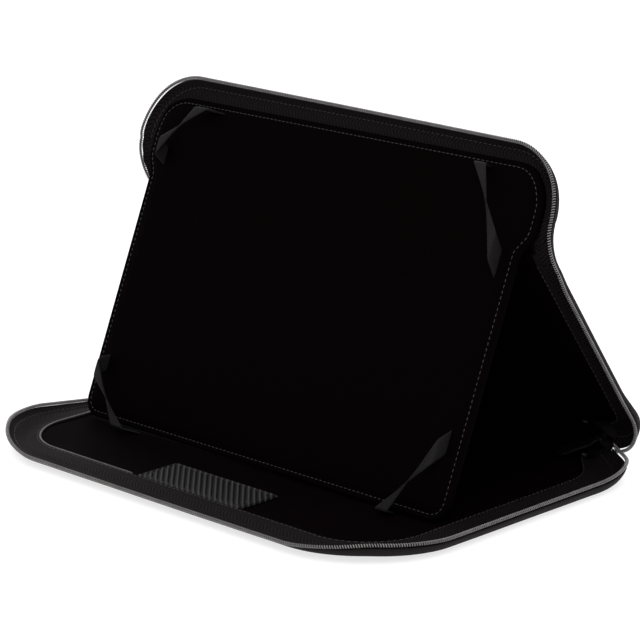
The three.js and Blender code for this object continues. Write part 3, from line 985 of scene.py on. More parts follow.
@dataclass(frozen=True)
class Coil:
    """A zip's coil: a nylon wire wound round the row, one turn for each tooth, over a core cord."""

    pitch: float = 1.27 * MM
    wide: float = 0.9 * MM
    high: float = 0.72 * MM
    wire: float = 0.25 * MM
    steps: int = 8
    sides: int = 5

    def surfaces(self, path: Array, side: Array) -> tuple[Surface, Surface]:
        """The coil along a row.

        The wire's middle line circles the row: wide times the cosine of the turn along the side, high times
        its sine across it, with one turn each pitch.

        Args:
            path: The row.
            side: The direction across the row at each point.

        Returns:
            The wire and the core.
        """
        walked = lengths_along(path)
        turns = max(1, round(walked[-1] / self.pitch))
        at = np.linspace(0, walked[-1], turns * self.steps + 1)
        middle = np.stack([np.interp(at, walked, path[:, k]) for k in range(3)], -1)
        across = unit(np.stack([np.interp(at, walked, side[:, k]) for k in range(3)], -1))
        along = unit(np.gradient(middle, axis=0))
        up = np.cross(along, across)
        angle = (np.arange(len(at)) / self.steps * 2 * math.pi)[:, None]
        wire = middle + self.wide * np.cos(angle) * across + self.high * np.sin(angle) * up
        wound = Surface.tube(cord_rings(wire, wire - middle, self.wire, self.sides)).outward()
        core = cord_rings(middle[:: self.steps], across[:: self.steps], self.high * 0.8, 6)
        return wound, Surface.tube(core).outward()


@dataclass(frozen=True)
class Stitching:
    """A row of stitches: short thread capsules, each dipping at both ends."""

    pitch: float = 3.0 * MM
    length: float = 2.1 * MM
    radius: float = 0.24 * MM

    def surface(self, path: Array, up: Array, closed: bool = False) -> Surface:
        """The stitches along a line.

        Each capsule has four rings of six points, whose radius and height follow half a sine along it.

        Args:
            path: The line that they follow.
            up: The direction they stand proud, one or one for each point.
            closed: Whether the line's end joins its start.

        Returns:
            All the capsules as one surface.
        """
        path = np.concatenate([path, path[:1]]) if closed else path
        count = max(2, round(float(lengths_along(path)[-1]) / self.pitch))
        ups = np.broadcast_to(up, path.shape)
        line = resampled(np.concatenate([path, ups], 1), count * 2 + 1)[1::2]
        middle, up = line[:, :3], unit(line[:, 3:])
        along = unit(np.gradient(middle, axis=0))
        side = np.cross(along, up)
        t = np.linspace(-0.5, 0.5, 4)
        arch = np.cos(t * math.pi * 0.8)
        turn = np.linspace(0, 2 * math.pi, 6, endpoint=False)
        raised = self.radius * arch[:, None] * up[:, None]
        spine = middle[:, None] + self.length * t[:, None] * along[:, None] + raised
        ring = np.cos(turn)[:, None] * side[:, None] + np.sin(turn)[:, None] * up[:, None]
        rings = spine[:, :, None] + (self.radius * arch)[:, None, None] * ring[:, None]
        return Surface.copies(rings).outward()


def fit(piece: bpy.types.Object, finish: Finish, body: str, *nodes: str) -> bpy.types.Object:
    """Rides a piece on a body, hides the CAD nodes that it replaces, and logs it.

    Args:
        piece: The piece.
        finish: Its finish.
        body: The body that it rides on.
        nodes: The CAD nodes that it replaces.

    Returns:
        The piece.
    """
    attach(piece, body)
    return noted(piece, finish, *nodes)


def noted(piece: bpy.types.Object, finish: Finish, *nodes: str) -> bpy.types.Object:
    """Hides the CAD nodes that a piece replaces, if any, and logs it.

    Args:
        piece: The piece.
        finish: Its finish; not used.
        nodes: The CAD nodes that it replaces.

    Returns:
        The piece.
    """
    if nodes:
        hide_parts(*nodes)
    LOG.info("%s: %d faces", piece.name, len(piece.data.polygons))
    return piece


@dataclass
class Layer:
    """A flat layer with a shaped edge: rings from its centre out, over the edge and back underneath.

    insets are distances in from the outline, and tops and bottoms the heights there, in millimetres.
    """

    plate: Plate
    outline: Outline
    centre: tuple[float, float]
    insets: Sequence[float]
    tops: Sequence[float]
    bottoms: Sequence[float]
    rings: int = 14

    def plan(self) -> Array:
        """The rings seen from above: shares of the way out from the centre, then the insets.

        Returns:
            Shape (rings, points round, 2), in millimetres.
        """
        insets = np.array(self.insets)[:, None, None]
        edges = self.outline.points - self.outline.normals * insets
        shares = np.linspace(0.06, 1, self.rings, endpoint=False)[:, None, None]
        return np.concatenate([self.centre + shares * (edges[0] - self.centre), edges])

    def heights(self, levels: Sequence[float]) -> Array:
        """The height of each ring: the first level over the middle, then the levels."""
        return np.concatenate([np.full(self.rings, levels[0]), levels])[:, None]

    def flat_points(self) -> Array:
        """The rings of the top, and then those of the bottom.

        Returns:
            Shape (rings, points round, 3), in millimetres.
        """
        plan = self.plan()
        top, bottom = (
            np.concatenate([plan, np.broadcast_to(self.heights(h), plan.shape[:2])[..., None]], -1)
            for h in (self.tops, self.bottoms)
        )
        return np.concatenate([top, bottom[::-1]])

    def surface(self, points: Array | None = None) -> Surface:
        """The closed layer.

        Args:
            points: Changed flat points, where they aren't its own.

        Returns:
            The closed surface.
        """
        points = self.flat_points() if points is None else points
        poles = self.plate.place(np.stack([points[0].mean(0), points[-1].mean(0)]))
        return Surface.rings(self.plate.place(points), points[..., :2] * MM, *poles).outward()

    def cloth(self, uneven: float, length: float, seed: int) -> Surface:
        """The layer with its top and bottom moved by the same soft waves.

        Args:
            uneven: How far up and down, in millimetres.
            length: The waves' length in millimetres.
            seed: Picks the waves.

        Returns:
            The closed surface.
        """
        points = self.flat_points()
        points[..., 2] += uneven * waves(points * [MM, MM, 0], length * MM, seed)
        return self.surface(points)


# Insets of a thin layer's rounded edge, and the share of its half thickness that is left at each.
ROUND_EDGE = [0.9, 0.5, 0.22, 0.06, 0.0]
ROUND_SHARES = [1, 1, 0.88, 0.6, 0.2]


def edge_levels(low: float, high: float) -> tuple[list[float], list[float]]:
    """Heights of a thin layer at the insets of ROUND_EDGE, drawn in round the edge to its middle.

    Args:
        low: The layer's underside.
        high: Its top.

    Returns:
        The heights of the top and of the underside.
    """
    middle, half = (low + high) / 2, (high - low) / 2
    top, under = ([middle + sign * half * share for share in ROUND_SHARES] for sign in (1, -1))
    return top, under


# ---- the zip row on a plate ----
@dataclass
class ZipRow:
    """The tape and coil on one stretch of a plate's wall, with the seam that joins the tape to the plate."""

    name: str
    wall: Wall
    first: tuple[float, float]
    last: tuple[float, float]
    nodes: tuple[str, str]
    piped_to: tuple[float, float] | None = None
    tape_width: float = 24.0
    stitches: Stitching = Stitching(3.2 * MM, 2.2 * MM, 0.2 * MM)

    def build(self) -> None:
        """Makes the tape, the coil, the seam stitches and the piping."""
        body = self.wall.plate.body
        run = self.wall.outline.run(self.first, self.last)
        tape = Surface.tube(self.wall.tape_rings(run)).outward()
        woven = fit(tape.piece(self.name + "_tape", TAPE_WEAVE), TAPE_WEAVE, body, self.nodes[0])
        path, side = self.wall.row(run)
        wire, core = Coil().surfaces(path, side)
        fit(wire.piece(self.name + "_coil", COIL_NYLON), COIL_NYLON, body, self.nodes[1])
        fit(core.piece(self.name + "_core", CORE_CORD), CORE_CORD, body)
        inwards = self.wall.plate.way(0, 1)
        for label, away, up in (("seam", SEAM_AWAY + 1.6, SEAM_UP + 0.36), ("rim", 9.2, 4.05)):
            line, _ = self.wall.row(run, away, up)
            rows = self.stitches.surface(line, inwards)
            fit(rows.piece(f"{self.name}_{label}_stitches", THREAD), THREAD, body)
        if self.piped_to:
            corded = self.wall.outline.run(self.first, self.piped_to)
            line, out = self.wall.row(corded, SEAM_AWAY - 0.3, SEAM_UP + 0.1)
            cord = Surface.tube(cord_rings(line, out, 0.8 * MM, 10)).outward()
            fit(cord.piece(self.name + "_piping", PIPING_CLOTH), PIPING_CLOTH, body)


# ---- the base tray ----
@dataclass
class BaseTray:
    """The front cover, flat on the table: moulded skin, brushed lining, zip row and grip pad."""

    half: float = 135.0
    front: float = -94.4
    shoulder: float = 71.7
    tongue_half: float = 104.7
    back: float = 105.4
    front_radius: float = 40.0
    back_radius: float = 31.0
    tail_end: tuple[float, float] = (112.3, 97.0)

    def __post_init__(self) -> None:
        """Works out the wall from the tray's sizes."""
        h, t, f = self.half, self.tongue_half, self.front
        right_half = [(h, f, self.front_radius), (h, self.shoulder, self.back_radius), (t, self.back, 8)]
        straight, round_end = h - self.front_radius, f + self.front_radius
        middle = self.front_radius * math.sqrt(0.5)
        corner = (straight + middle, round_end - middle)
        ends: list[Key] = [(0, f, 1, 0.35, 1, 2.4), (straight, f, 1, 0.35, 1, 2.6)]
        tail: list[Key] = [
            (h, 59.8, 1.22, 0.93, 0.5, 0),
            (127, 80.6, 1.52, 1.2, 0.4, 0),
            (*self.tail_end, 0.7, 1.7, 0.4, 0),
            (t, self.back, 0.1, 0.3, 0.3, 0),
            (0, self.back, 0.08, 0.1, 0.3, 0),
        ]
        right = [*ends, (*corner, 1.12, 0.9, 0.8, 2.8), (h, round_end, 1.24, 0.85, 0.5, 0.8), *tail]
        left: list[Key] = [*ends, (*corner, 0.72, 0.7, 0.8, 6), (h, round_end, 0.95, 0.7, 0.5, 4)]
        left.append((h, round_end + 45, 1.0, 0.35, 0.5, 1))
        outline = Outline.rounded(both_sides(right_half))
        outline.keyed(right, [(-x, *rest) for x, *rest in left + tail])
        self.wall = Wall(BASE, outline, (0.0, 0.0))

    def build(self) -> None:
        """Makes the skin, the lining, the zip row and the grip pad."""
        skin = self.wall.skin().piece("base_skin", SHELL_CLOTH)
        fit(skin, SHELL_CLOTH, "base", "base_outer_shell")
        lining = self.wall.lining(5.0, 0.7).piece("base_lining_cloth", LINING_CLOTH)
        fit(lining, LINING_CLOTH, "base", "base_lining")
        left = (-self.tail_end[0], self.tail_end[1])
        nodes = ("base_zipper_tape", "base_zipper_coil")
        ZipRow("base_zip", self.wall, left, self.tail_end, nodes, (-36.0, self.front)).build()
        GripPad().build()


@dataclass
class GripPad:
    """Ribbed rubber on the base lining, which the panel's edge stands against.

    Its top is a height over a flat grid: slanted ribs inside, a groove and a narrow border round them, and
    the sides drawn down to the lining.
    """

    width: float = 74.0
    depth: float = 28.0
    centre: tuple[float, float] = (5.0, -74.0)
    low: float = 4.0
    high: float = 5.1
    rib_pitch: float = 2.8
    rib_height: float = 0.75
    border: float = 1.3
    step: float = 0.4

    def build(self) -> None:
        """Makes the pad."""
        x = np.linspace(-self.width / 2, self.width / 2, round(self.width / self.step))
        y = np.linspace(-self.depth / 2, self.depth / 2, round(self.depth / self.step))
        grid = np.stack(np.meshgrid(x, y, indexing="ij"), -1)
        margin = np.minimum(self.width / 2 - abs(grid[..., 0]), self.depth / 2 - abs(grid[..., 1]))
        slant = (grid.sum(-1) + sum(self.centre)) / math.sqrt(2)
        rib = np.clip(0.5 + 0.9 * np.sin(2 * math.pi * slant / self.rib_pitch), 0, 1)
        inside = ramp(margin, 2 * self.border, 2.4 * self.border)
        band = ramp(margin, 0.2, 0.6) * ramp(-margin, -1.6 * self.border, -self.border)
        top = self.high + self.rib_height * (rib * inside + 0.6 * band) - 0.5 * (1 - ramp(margin, 0, 0.6))
        place = grid + np.array(self.centre)
        under = np.full_like(top, self.low)
        pad = Surface.slab(*(BASE.place(np.dstack([place, level])) for level in (top, under)))
        fit(pad.outward().piece("ribbed_grip_pad", GRIP_RUBBER), GRIP_RUBBER, "base", "base_grip_pad")


# ---- the back cover: spine, leg and head ----
@dataclass
class Spine:
    """The narrow plate between the two covers, with its lining."""

    half: float = 106.0
    near: float = 1.2
    far: float = 19.5

    def build(self) -> None:
        """Makes the cover and its lining."""
        h = self.half
        outline = Outline.rounded(both_sides([(h, self.near, 1), (h, self.far, 1)]))
        middle = (0.0, (self.near + self.far) / 2)
        cover = Layer(SPINE, outline, middle, ROUND_EDGE, *edge_levels(0, SKIN)).surface()
        fit(cover.piece("spine_outer_cover", SHELL_CLOTH), SHELL_CLOTH, "spine", "spine_cover")
        lining = Layer(SPINE, outline, middle, ROUND_EDGE, *edge_levels(3.0, FLOOR_TOP)).cloth(0.15, 50, 5)
        made = fit(lining.piece("spine_lining_cloth", LINING_CLOTH), LINING_CLOTH, "spine", "spine_lining")


@dataclass
class Leg:
    """The lower part of the back cover, which props the stand."""

    half: float = 135.0
    spine_half: float = 112.0
    near: float = 2.5
    shoulder: float = 6.0
    far: float = 138.3
    row_start: tuple[float, float] = (124.0, 4.4)
    row_end: float = 129.0

    def __post_init__(self) -> None:
        """Works out the wall from the leg's sizes."""
        h, s = self.half, self.spine_half
        corners = both_sides([(s, self.near, 6), (h, self.shoulder, 14), (h, self.far, 3)])
        keys: list[Key] = [
            (0, self.near, 0.08, 0.1, 0.3, 0),
            (s, self.near, 0.1, 0.3, 0.3, 0),
            (*self.row_start, 0.45, 1.75, 0.4, 0),
            (130.9, 8.1, 0.75, 1.6, 0.4, 0),
            (h, 18, 0.95, 0.95, 0.5, 1),
            (h, 35, 0.86, 0.67, 0.5, 3),
            (h, 118, 0.86, 0.67, 0.5, 2.5),
            (h, self.row_end, 0.84, 0.6, 0.5, 1.5),
            (h, 133.5, 0.4, 0.3, 0.4, 0),
            (h - 4, self.far, 0.05, 0.05, 0.3, 0),
            (0, self.far, 0.05, 0.05, 0.3, 0),
        ]
        self.wall = Wall(LEG, Outline.rounded(corners).keyed(keys), (0.0, 70.0), 0.6)

    def build(self) -> None:
        """Makes the skin, the lining and the two stretches of the zip."""
        fit(self.wall.skin().piece("leg_skin", SHELL_CLOTH), SHELL_CLOTH, "leg", "leg_outer_shell")
        lining = self.wall.lining(5.0, 0.6).piece("leg_lining_cloth", LINING_CLOTH)
        fit(lining, LINING_CLOTH, "leg", "leg_lining")
        x, y = self.row_start
        ends = {"right": ((x, y), (self.half, self.row_end)), "left": ((-self.half, self.row_end), (-x, y))}
        for side, (first, last) in ends.items():
            nodes = (f"leg_zipper_tape_{side}", f"leg_zipper_coil_{side}")
            ZipRow(f"leg_zip_{side}", self.wall, first, last, nodes).build()


@dataclass
class Head:
    """The upper part of the back cover, to which the panel is sewn."""

    half: float = 135.0
    near: float = 0.5
    far: float = 34.8
    radius: float = 23.0
    row_start: float = 9.5

    def __post_init__(self) -> None:
        """Works out the wall from the head's sizes."""
        h = self.half
        corners = both_sides([(h, self.near, 2), (h, self.far, self.radius)])
        crease: list[Key] = [(0, self.near, 0.05, 0.05, 0.3, 0), (h - 4, self.near, 0.05, 0.05, 0.3, 0)]
        inset = self.radius * (1 - math.sqrt(0.5))
        corner = (h - inset, self.far - inset)
        straight = h - self.radius
        right: list[Key] = [
            *crease,
            (h, 4.5, 0.4, 0.4, 0.4, 0),
            (h, self.row_start, 0.75, 0.85, 0.5, 0),
            (h, self.far - self.radius, 0.75, 1, 0.5, 0),
            (*corner, 0.74, 1, 0.5, 0),
            (straight, self.far, 0.75, 1, 0.5, 0),
            (0, self.far, 0.86, 1, 0.5, 0),
        ]
        left: list[Key] = [
            *crease,
            (h, 4.5, 0.5, 0.4, 0.4, 0),
            (h, self.row_start, 0.98, 0.85, 0.5, 0),
            (*corner, 1, 1, 0.5, 0),
            (straight, self.far, 0.95, 1, 0.5, 0),
        ]
        outline = Outline.rounded(corners).keyed(right, [(-x, *rest) for x, *rest in left])
        self.wall = Wall(HEAD, outline, (0.0, 17.0), 0.4)

    def build(self) -> None:
        """Makes the skin and the stretch of the zip round its top."""
        fit(self.wall.skin().piece("head_skin", SHELL_CLOTH), SHELL_CLOTH, "head", "head_outer_shell")
        nodes = ("head_zipper_tape", "head_zipper_coil")
        ends = ((self.half, self.row_start), (-self.half, self.row_start))
        ZipRow("head_zip", self.wall, *ends, nodes).build()


# ---- the cloth across the folds ----
@dataclass
class FoldCloth:
    """A strip of cloth that bends across one fold line between two plates."""

    name: str
    finish: Finish
    near: Plate
    far: Plate
    start: tuple[float, float]
    end: tuple[float, float]
    half: float
    nodes: tuple[str, ...] = ()
    thickness: float = 0.9
    uneven: float = 0.25
    steps: int = 16

    def build(self) -> None:
        """Makes the strip: each line across it follows a cubic curve from the near plate to the far one."""
        x = np.linspace(-self.half, self.half, 160)
        first = self.near.place(np.stack([x, *(np.full_like(x, v) for v in self.start)], -1))
        last = self.far.place(np.stack([x, *(np.full_like(x, v) for v in self.end)], -1))
        reach = float(np.linalg.norm(last[0] - first[0])) / MM
        rows = bridge(first, self.near.way(reach), last, self.far.way(reach), self.steps)
        t = np.linspace(0, 1, self.steps)[:, None]
        ease = np.sin(t * math.pi)[..., None] * self.uneven * MM * waves(rows, 0.04, seed=21)[..., None]
        leaf = Surface.leaf(rows + ease * self.near.way(0, 1000), self.thickness * MM).outward()
        made = leaf.piece(self.name, self.finish)
        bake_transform(made)
        noted(made, self.finish, *self.nodes)


@dataclass
class WallBridge:
    """The skin, tape and coil of the wall where it crosses a fold, from one plate's wall to the next one's.

    Every point of a section follows a cubic curve that leaves along one plate and arrives along the other.
    The tape also ripples across: by a sine of five half waves under a squared sine.
    """

    name: str
    near: Wall
    far: Wall
    at_near: tuple[float, float]
    at_far: tuple[float, float]
    steps: int = 18
    coil_steps: int = 60
    proud: float = 0.25
    ripple: float = 0.5

    def rows(self, first: Array, last: Array, steps: int, ripple: float = 0.0) -> Array:
        """Carries one section into the other.

        Args:
            first: The section on the near plate.
            last: The section on the far plate.
            steps: How many rows, the two sections included.
            ripple: How far the rows ripple across, in millimetres.

        Returns:
            The rows of points.
        """
        gap = np.linalg.norm(last - first, axis=-1, keepdims=True) / MM
        near_way, far_way = self.near.plate.way(1) * gap, self.far.plate.way(1) * gap
        made = bridge(first, near_way, last, far_way, steps)
        t = np.linspace(0, 1, steps)[:, None, None]
        across = np.array([1.0, 0, 0]) * np.sign(first[0, 0])
        return made + ripple * MM * np.sin(t * math.pi) ** 2 * np.sin(t * math.pi * 5) * across

    def sections(self, profile: Array) -> tuple[Array, Array]:
        """The sections of a wall profile at the end of the near wall and at the start of the far one.

        Args:
            profile: Distance out from the edge and height, in millimetres.

        Returns:
            The two sections, in the row frame.
        """
        return tuple(
            wall.plate.place(wall.outline.run(at, at).section(profile))[0]
            for wall, at in ((self.near, self.at_near), (self.far, self.at_far))
        )

    def build(self) -> None:
        """Makes the skin, the tape, the coil and its core, and blends them across the fold."""
        out = smooth_through(SHELL_OUT, OUT_POINTS) + [[0, -self.proud]]
        skin = np.concatenate([out, smooth_through(SHELL_IN, IN_POINTS) + [[0, -0.1]]])
        parts = [(skin, SHELL_CLOTH, "skin", 0.0), (tape_profile(), TAPE_WEAVE, "tape", self.ripple)]
        for profile, finish, label, ripple in parts:
            rows = self.rows(*self.sections(profile), self.steps, ripple)
            made = Surface.tube(rows).outward().piece(f"{self.name}_{label}", finish)
            self.blended(made, finish)
        first, last = self.sections(np.array([[COIL_AWAY, COIL_UP], [COIL_AWAY + 1, COIL_UP + 0.9]]))
        pair = self.rows(first, last, self.coil_steps)
        wire, core = Coil().surfaces(pair[:, 0], unit(pair[:, 1] - pair[:, 0]))
        self.blended(wire.piece(f"{self.name}_coil", COIL_NYLON), COIL_NYLON)
        self.blended(core.piece(f"{self.name}_core", CORE_CORD), CORE_CORD)

    def blended(self, made: bpy.types.Object, finish: Finish) -> None:
        """Bakes a piece's place into its mesh and logs it.

        Args:
            made: The piece.
            finish: Its finish.
        """
        ends = [
            wall.plate.place(np.array([0.0, at[1], 0.0]))
            for wall, at in ((self.near, self.at_near), (self.far, self.at_far))
        ]
        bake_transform(made)
        noted(made, finish)


class Side(Enum):
    """The case's two sides, with the sign of their x."""

    RIGHT = 1
    LEFT = -1


def spine_edge(side: Side, away: Array, level: float) -> Array:
    """A line on the spine's side edge, in the row frame.

    Args:
        side: Which side.
        away: How far up the spine each point is, in millimetres.
        level: The line's height.

    Returns:
        The points.
    """
    x = np.full_like(away, side.value * SPINE_EDGE)
    return SPINE.place(np.stack([x, away, np.full_like(away, level)], -1))


@dataclass
class Gusset:
    """The cloth that closes a corner beside the spine: from a wall's end to half of the spine's side edge."""

    name: str
    wall: Wall
    at: tuple[float, float]
    side: Side
    spine_rows: tuple[float, float]
    bow: float = 9.0
    thickness: float = 1.0
    steps: int = 14

    def build(self) -> None:
        """Makes the gusset: lines from the wall's middle surface to the spine's edge, bowed outwards."""
        sign = self.side.value
        at = (sign * self.at[0], self.at[1])
        out, inner = smooth_through(SHELL_OUT, IN_POINTS), smooth_through(SHELL_IN, IN_POINTS)[::-1]
        leave = self.wall.outline.run(at, at)
        section = self.wall.plate.place(leave.section((out + inner) / 2))[0]
        rows = np.linspace(*self.spine_rows, len(section))
        edge = spine_edge(self.side, rows, 0.9)
        along = np.array([-leave.normals[0][1], leave.normals[0][0]]) * sign
        away = self.wall.plate.place(np.array([*along, 0.0])) - self.wall.plate.place(np.zeros(3))
        arrive = np.array([-sign * MM, 0, 0])
        surface = bridge(section, away * self.bow, edge, arrive * self.bow, self.steps)
        made = Surface.leaf(surface, self.thickness * MM).outward().piece(self.name, SHELL_CLOTH)
        if self.wall.plate is BASE:
            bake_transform(made)
        else:
            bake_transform(made)
        noted(made, SHELL_CLOTH)


@dataclass
class CornerWeb:
    """The cloth between a corner's two gussets: from the spine's side edge out to where both zip rows end."""

    name: str
    side: Side
    base_wall: Wall
    base_end: tuple[float, float]
    leg_wall: Wall
    leg_end: tuple[float, float]
    rows: tuple[float, float] = (2.5, 20.0)
    thickness: float = 0.8
    steps: int = 14

    def build(self) -> None:
        """Makes the web: cubic curves from the spine's edge to the line between the ends of the two rows."""
        sign = self.side.value
        ends = [
            wall.row(wall.outline.run(at, at), 12.0, 6.0)[0][0]
            for wall, at in (
                (self.base_wall, (sign * self.base_end[0], self.base_end[1])),
                (self.leg_wall, (sign * self.leg_end[0], self.leg_end[1])),
            )
        ]
        share = np.linspace(0, 1, 16)
        away = self.rows[0] + share * (self.rows[1] - self.rows[0])
        edge = spine_edge(self.side, away, 1.2)
        rim = ends[0] + share[:, None] * (ends[1] - ends[0])
        leave = np.array([sign * 14.0, 0.0, 0.0]) * MM
        surface = bridge(edge, leave, rim, (rim - edge) * 0.6, self.steps)
        made = Surface.leaf(surface, self.thickness * MM).outward().piece(self.name, LINING_CLOTH)
        fit(made, LINING_CLOTH, "spine")


# ---- the tablet panel and its straps ----
# Distances in from the pad's edge, and how far its face dips there: the groove holds the stitches.
PAD_INSETS = [8, 7, 6, 5, 4.2, 3.6, 3.2, 3.0, 2.8, 2.4, 1.9, 1.4, 0.9, 0.5, 0.2, 0.05, 0]
PAD_DIPS = [0, 0, 0, 0.05, 0.15, 0.3, 0.5, 0.6, 0.5, 0.3, 0.15, 0.1, 0.15, 0.35, 0.7, 1.1, 1.6]


class Cover(Enum):
    """The panel's two covers, with the sign of the way that each faces."""

    FACE = 1
    BACK = -1


@dataclass
class Panel:
    """The padded panel: fabric over foam and board, its edge bound by a row of stitches, sewn to the head."""

    half: float = 132.0
    foot: float = -144.6
    top: float = 32.5
    foot_radius: float = 10.0
    top_radius: float = 20.0
    low: float = 5.2
    high: float = 9.2
    stitch_inset: float = 3.0
    stitches: Stitching = Stitching(2.9 * MM, 2.0 * MM, 0.24 * MM)
    swell: float = 0.8

    def spread(self, points: Array) -> Array:
        """Flares the panel above the crease: x grows by 6 mm and y by 4 mm, and its edge sinks.

        Args:
            points: Flat points, in millimetres.

        Returns:
            The moved points.
        """
        made = points.copy()
        above = ramp(points[..., 1], -9, 3)
        made[..., 0] *= 1 + 6 / self.half * above
        made[..., 1] += 4 * ramp(points[..., 1], 8, 30)
        rim = np.maximum(abs(points[..., 0]) - self.half + 7, points[..., 1] - self.top + 7)
        made[..., 2] -= 1.3 * above * ramp(rim, 0, 7)
        return made

    def build(self) -> None:
        """Makes the pad, and the stitches on its face and its back."""
        corners = [(self.half, self.foot, self.foot_radius), (self.half, self.top, self.top_radius)]
        outline = Outline.rounded(both_sides(corners), 4.0)
        tops, bottoms = [self.high - dip for dip in PAD_DIPS], [self.low + 0.8 * dip for dip in PAD_DIPS]
        layer = Layer(HEAD, outline, (0.0, -56.0), PAD_INSETS, tops, bottoms, 20)
        pad = layer.surface(self.spread(layer.flat_points())).piece("panel_pad", PANEL_CLOTH)
        held = np.concatenate([np.ones(layer.rings), ramp(np.array(PAD_INSETS), 3.4, 8)])
        shares = np.repeat(np.concatenate([held, held[::-1]]), len(outline.points))
        self.inflate(pad, np.append(shares, [1.0, 1.0])[:, None])
        fit(pad, PANEL_CLOTH, "head", "panel_face_cover", "panel_back_cover")
        self.stitch(outline, Cover.FACE, self.high - 0.5)
        self.stitch(outline, Cover.BACK, self.low + 0.4)

    def stitch(self, outline: Outline, cover: Cover, level: float) -> None:
        """Sews a row of stitches along the edge of one cover.

        Args:
            outline: The pad's edge.
            cover: The cover.
            level: The row's height, in millimetres.
        """
        plan = outline.points - outline.normals * self.stitch_inset
        line = HEAD.place(self.spread(np.concatenate([plan, np.full((len(plan), 1), level)], 1)))
        rows = self.stitches.surface(line, HEAD.way(0, cover.value), True)
        fit(rows.piece(f"panel_{cover.name.lower()}_stitches", THREAD), THREAD, "head")

    def inflate(self, pad: bpy.types.Object, shares: Array) -> None:
        """Swells the pad by a cloth simulation under pressure, and keeps a small part of the movement.

        Args:
            pad: The pad, whose vertices are changed.
            shares: How much of the movement each vertex keeps: all in the middle, none on the stitched edge.
        """
        pad.modifiers.new("swell", "CLOTH")
        cloth = pad.modifiers["swell"].settings
        cloth.use_pressure, cloth.uniform_pressure_force = True, 4.0
        cloth.effector_weights.gravity = 0
        cloth.quality = 3
        scene = bpy.context.scene
        for step in range(1, 21):
            scene.frame_set(step)
        count = len(pad.data.vertices)
        rest, moved = np.empty(count * 3), np.empty(count * 3)
        pad.data.vertices.foreach_get("co", rest)
        seen = pad.evaluated_get(bpy.context.evaluated_depsgraph_get())
        seen.data.vertices.foreach_get("co", moved)
        shift = moved.reshape(-1, 3) - rest.reshape(-1, 3)
        length = np.linalg.norm(shift, axis=1, keepdims=True)
        most = self.swell * MM
        capped = shares * shift / np.maximum(length, 1e-9) * most * np.tanh(length / most)
        pad.modifiers.remove(pad.modifiers["swell"])
        pad.data.vertices.foreach_set("co", (rest.reshape(-1, 3) + capped).ravel())
        pad.data.update()
        scene.frame_set(1)
        LOG.info("panel_pad swelled by up to %.2f mm", float(np.linalg.norm(capped, axis=1).max()) / MM)


class Corner(Enum):
    """The four corners that a strap holds, with the signs of their x and y."""

    TOP_LEFT = (-1, 1)
    TOP_RIGHT = (1, 1)
    BOTTOM_LEFT = (-1, -1)
    BOTTOM_RIGHT = (1, -1)


@dataclass
class Strap:
    """A woven elastic band over one corner of the tablet's place, stretched between two edges of it."""

    corner: Corner
    along_x: float
    along_y: float
    width: float = 7.0
    thickness: float = 0.8
    reach: tuple[float, float] = (121.85, 88.35)
    centre_y: float = -57.5
    foot: float = 8.9
    face: float = 17.8

    def borders(self) -> tuple[Array, Array]:
        """The band's two borders: up beside one edge, across the corner and down beside the other.

        Returns:
            The two lines, rounded at their bends, in flat millimetres.
        """
        sx, sy = self.corner.value
        slope = np.array([self.reach[0] - self.along_x, self.reach[1] - self.along_y])
        cut = self.width * np.linalg.norm(slope) / slope[::-1] / 2
        shift = (self.face - self.foot) * np.array([slope[0] / slope[1], slope[1] / slope[0]]) / 2
        half = self.thickness / 2
        top, made = self.face + half, []
        for side in (-1, 1):
            x, y = self.along_x + side * cut[0], self.along_y - side * cut[1]
            path = [
                (x - shift[0], self.reach[1] + half, self.foot),
                (x, self.reach[1] + half, top),
                (self.reach[0] + half, y, top),
                (self.reach[0] + half, y - shift[1], self.foot),
            ]
            made.append(filleted(np.array(path) * [sx, sy, 1] + [0, self.centre_y, 0], 1.3))
        return made[0], made[1]

    def build(self) -> None:
        both = resampled(np.concatenate(self.borders(), 1), 90)
        share = np.linspace(0, 1, 9)[None, :, None]
        grid = both[:, None, :3] * (1 - share) + both[:, None, 3:] * share
        rounded = 0.35 + 0.65 * np.sqrt(np.clip(1 - abs(2 * share[..., 0] - 1) ** 4, 0, 1))
        thickness = np.broadcast_to(self.thickness * rounded * MM, grid.shape[:2])
        name = self.corner.name.lower()
        band = Surface.leaf(HEAD.place(grid), thickness).outward().piece(f"elastic_{name}", ELASTIC_BAND)
        fit(band, ELASTIC_BAND, "head", f"strap_{name}")


# ---- metal parts ----
@dataclass
class MetalPart:
    """A small plated part: the CAD shape with its edges rounded."""

    node: str
    body: str
    round_edge: float = 0.25

    def build(self) -> None:
        """Copies the node's mesh, merges it, joins its flat faces and bevels its edges."""
        mesh = frame["nodes"][self.node].data.copy()
        mesh.materials.clear()
        shape = bmesh.new()
        shape.from_mesh(mesh)
        bmesh.ops.remove_doubles(shape, verts=shape.verts, dist=1e-6)
        bmesh.ops.dissolve_limit(
            shape, angle_limit=math.radians(1), verts=shape.verts, edges=shape.edges, delimit={"NORMAL"}
        )
        bmesh.ops.recalc_face_normals(shape, faces=shape.faces)
        shape.to_mesh(mesh)
        shape.free()
        mesh.materials.append(PLATED.material())
        mesh.shade_smooth()
        made = bpy.data.objects.new(self.node + "_plated", mesh)
        bpy.context.scene.collection.objects.link(made)
        bevel = made.modifiers.new("rounded", "BEVEL")
        bevel.width, bevel.segments, bevel.limit_method = self.round_edge * MM, 2, "ANGLE"
        bevel.angle_limit = math.radians(28)
        made.modifiers.new("even", "WEIGHTED_NORMAL")
        fit(made, PLATED, self.body, self.node)


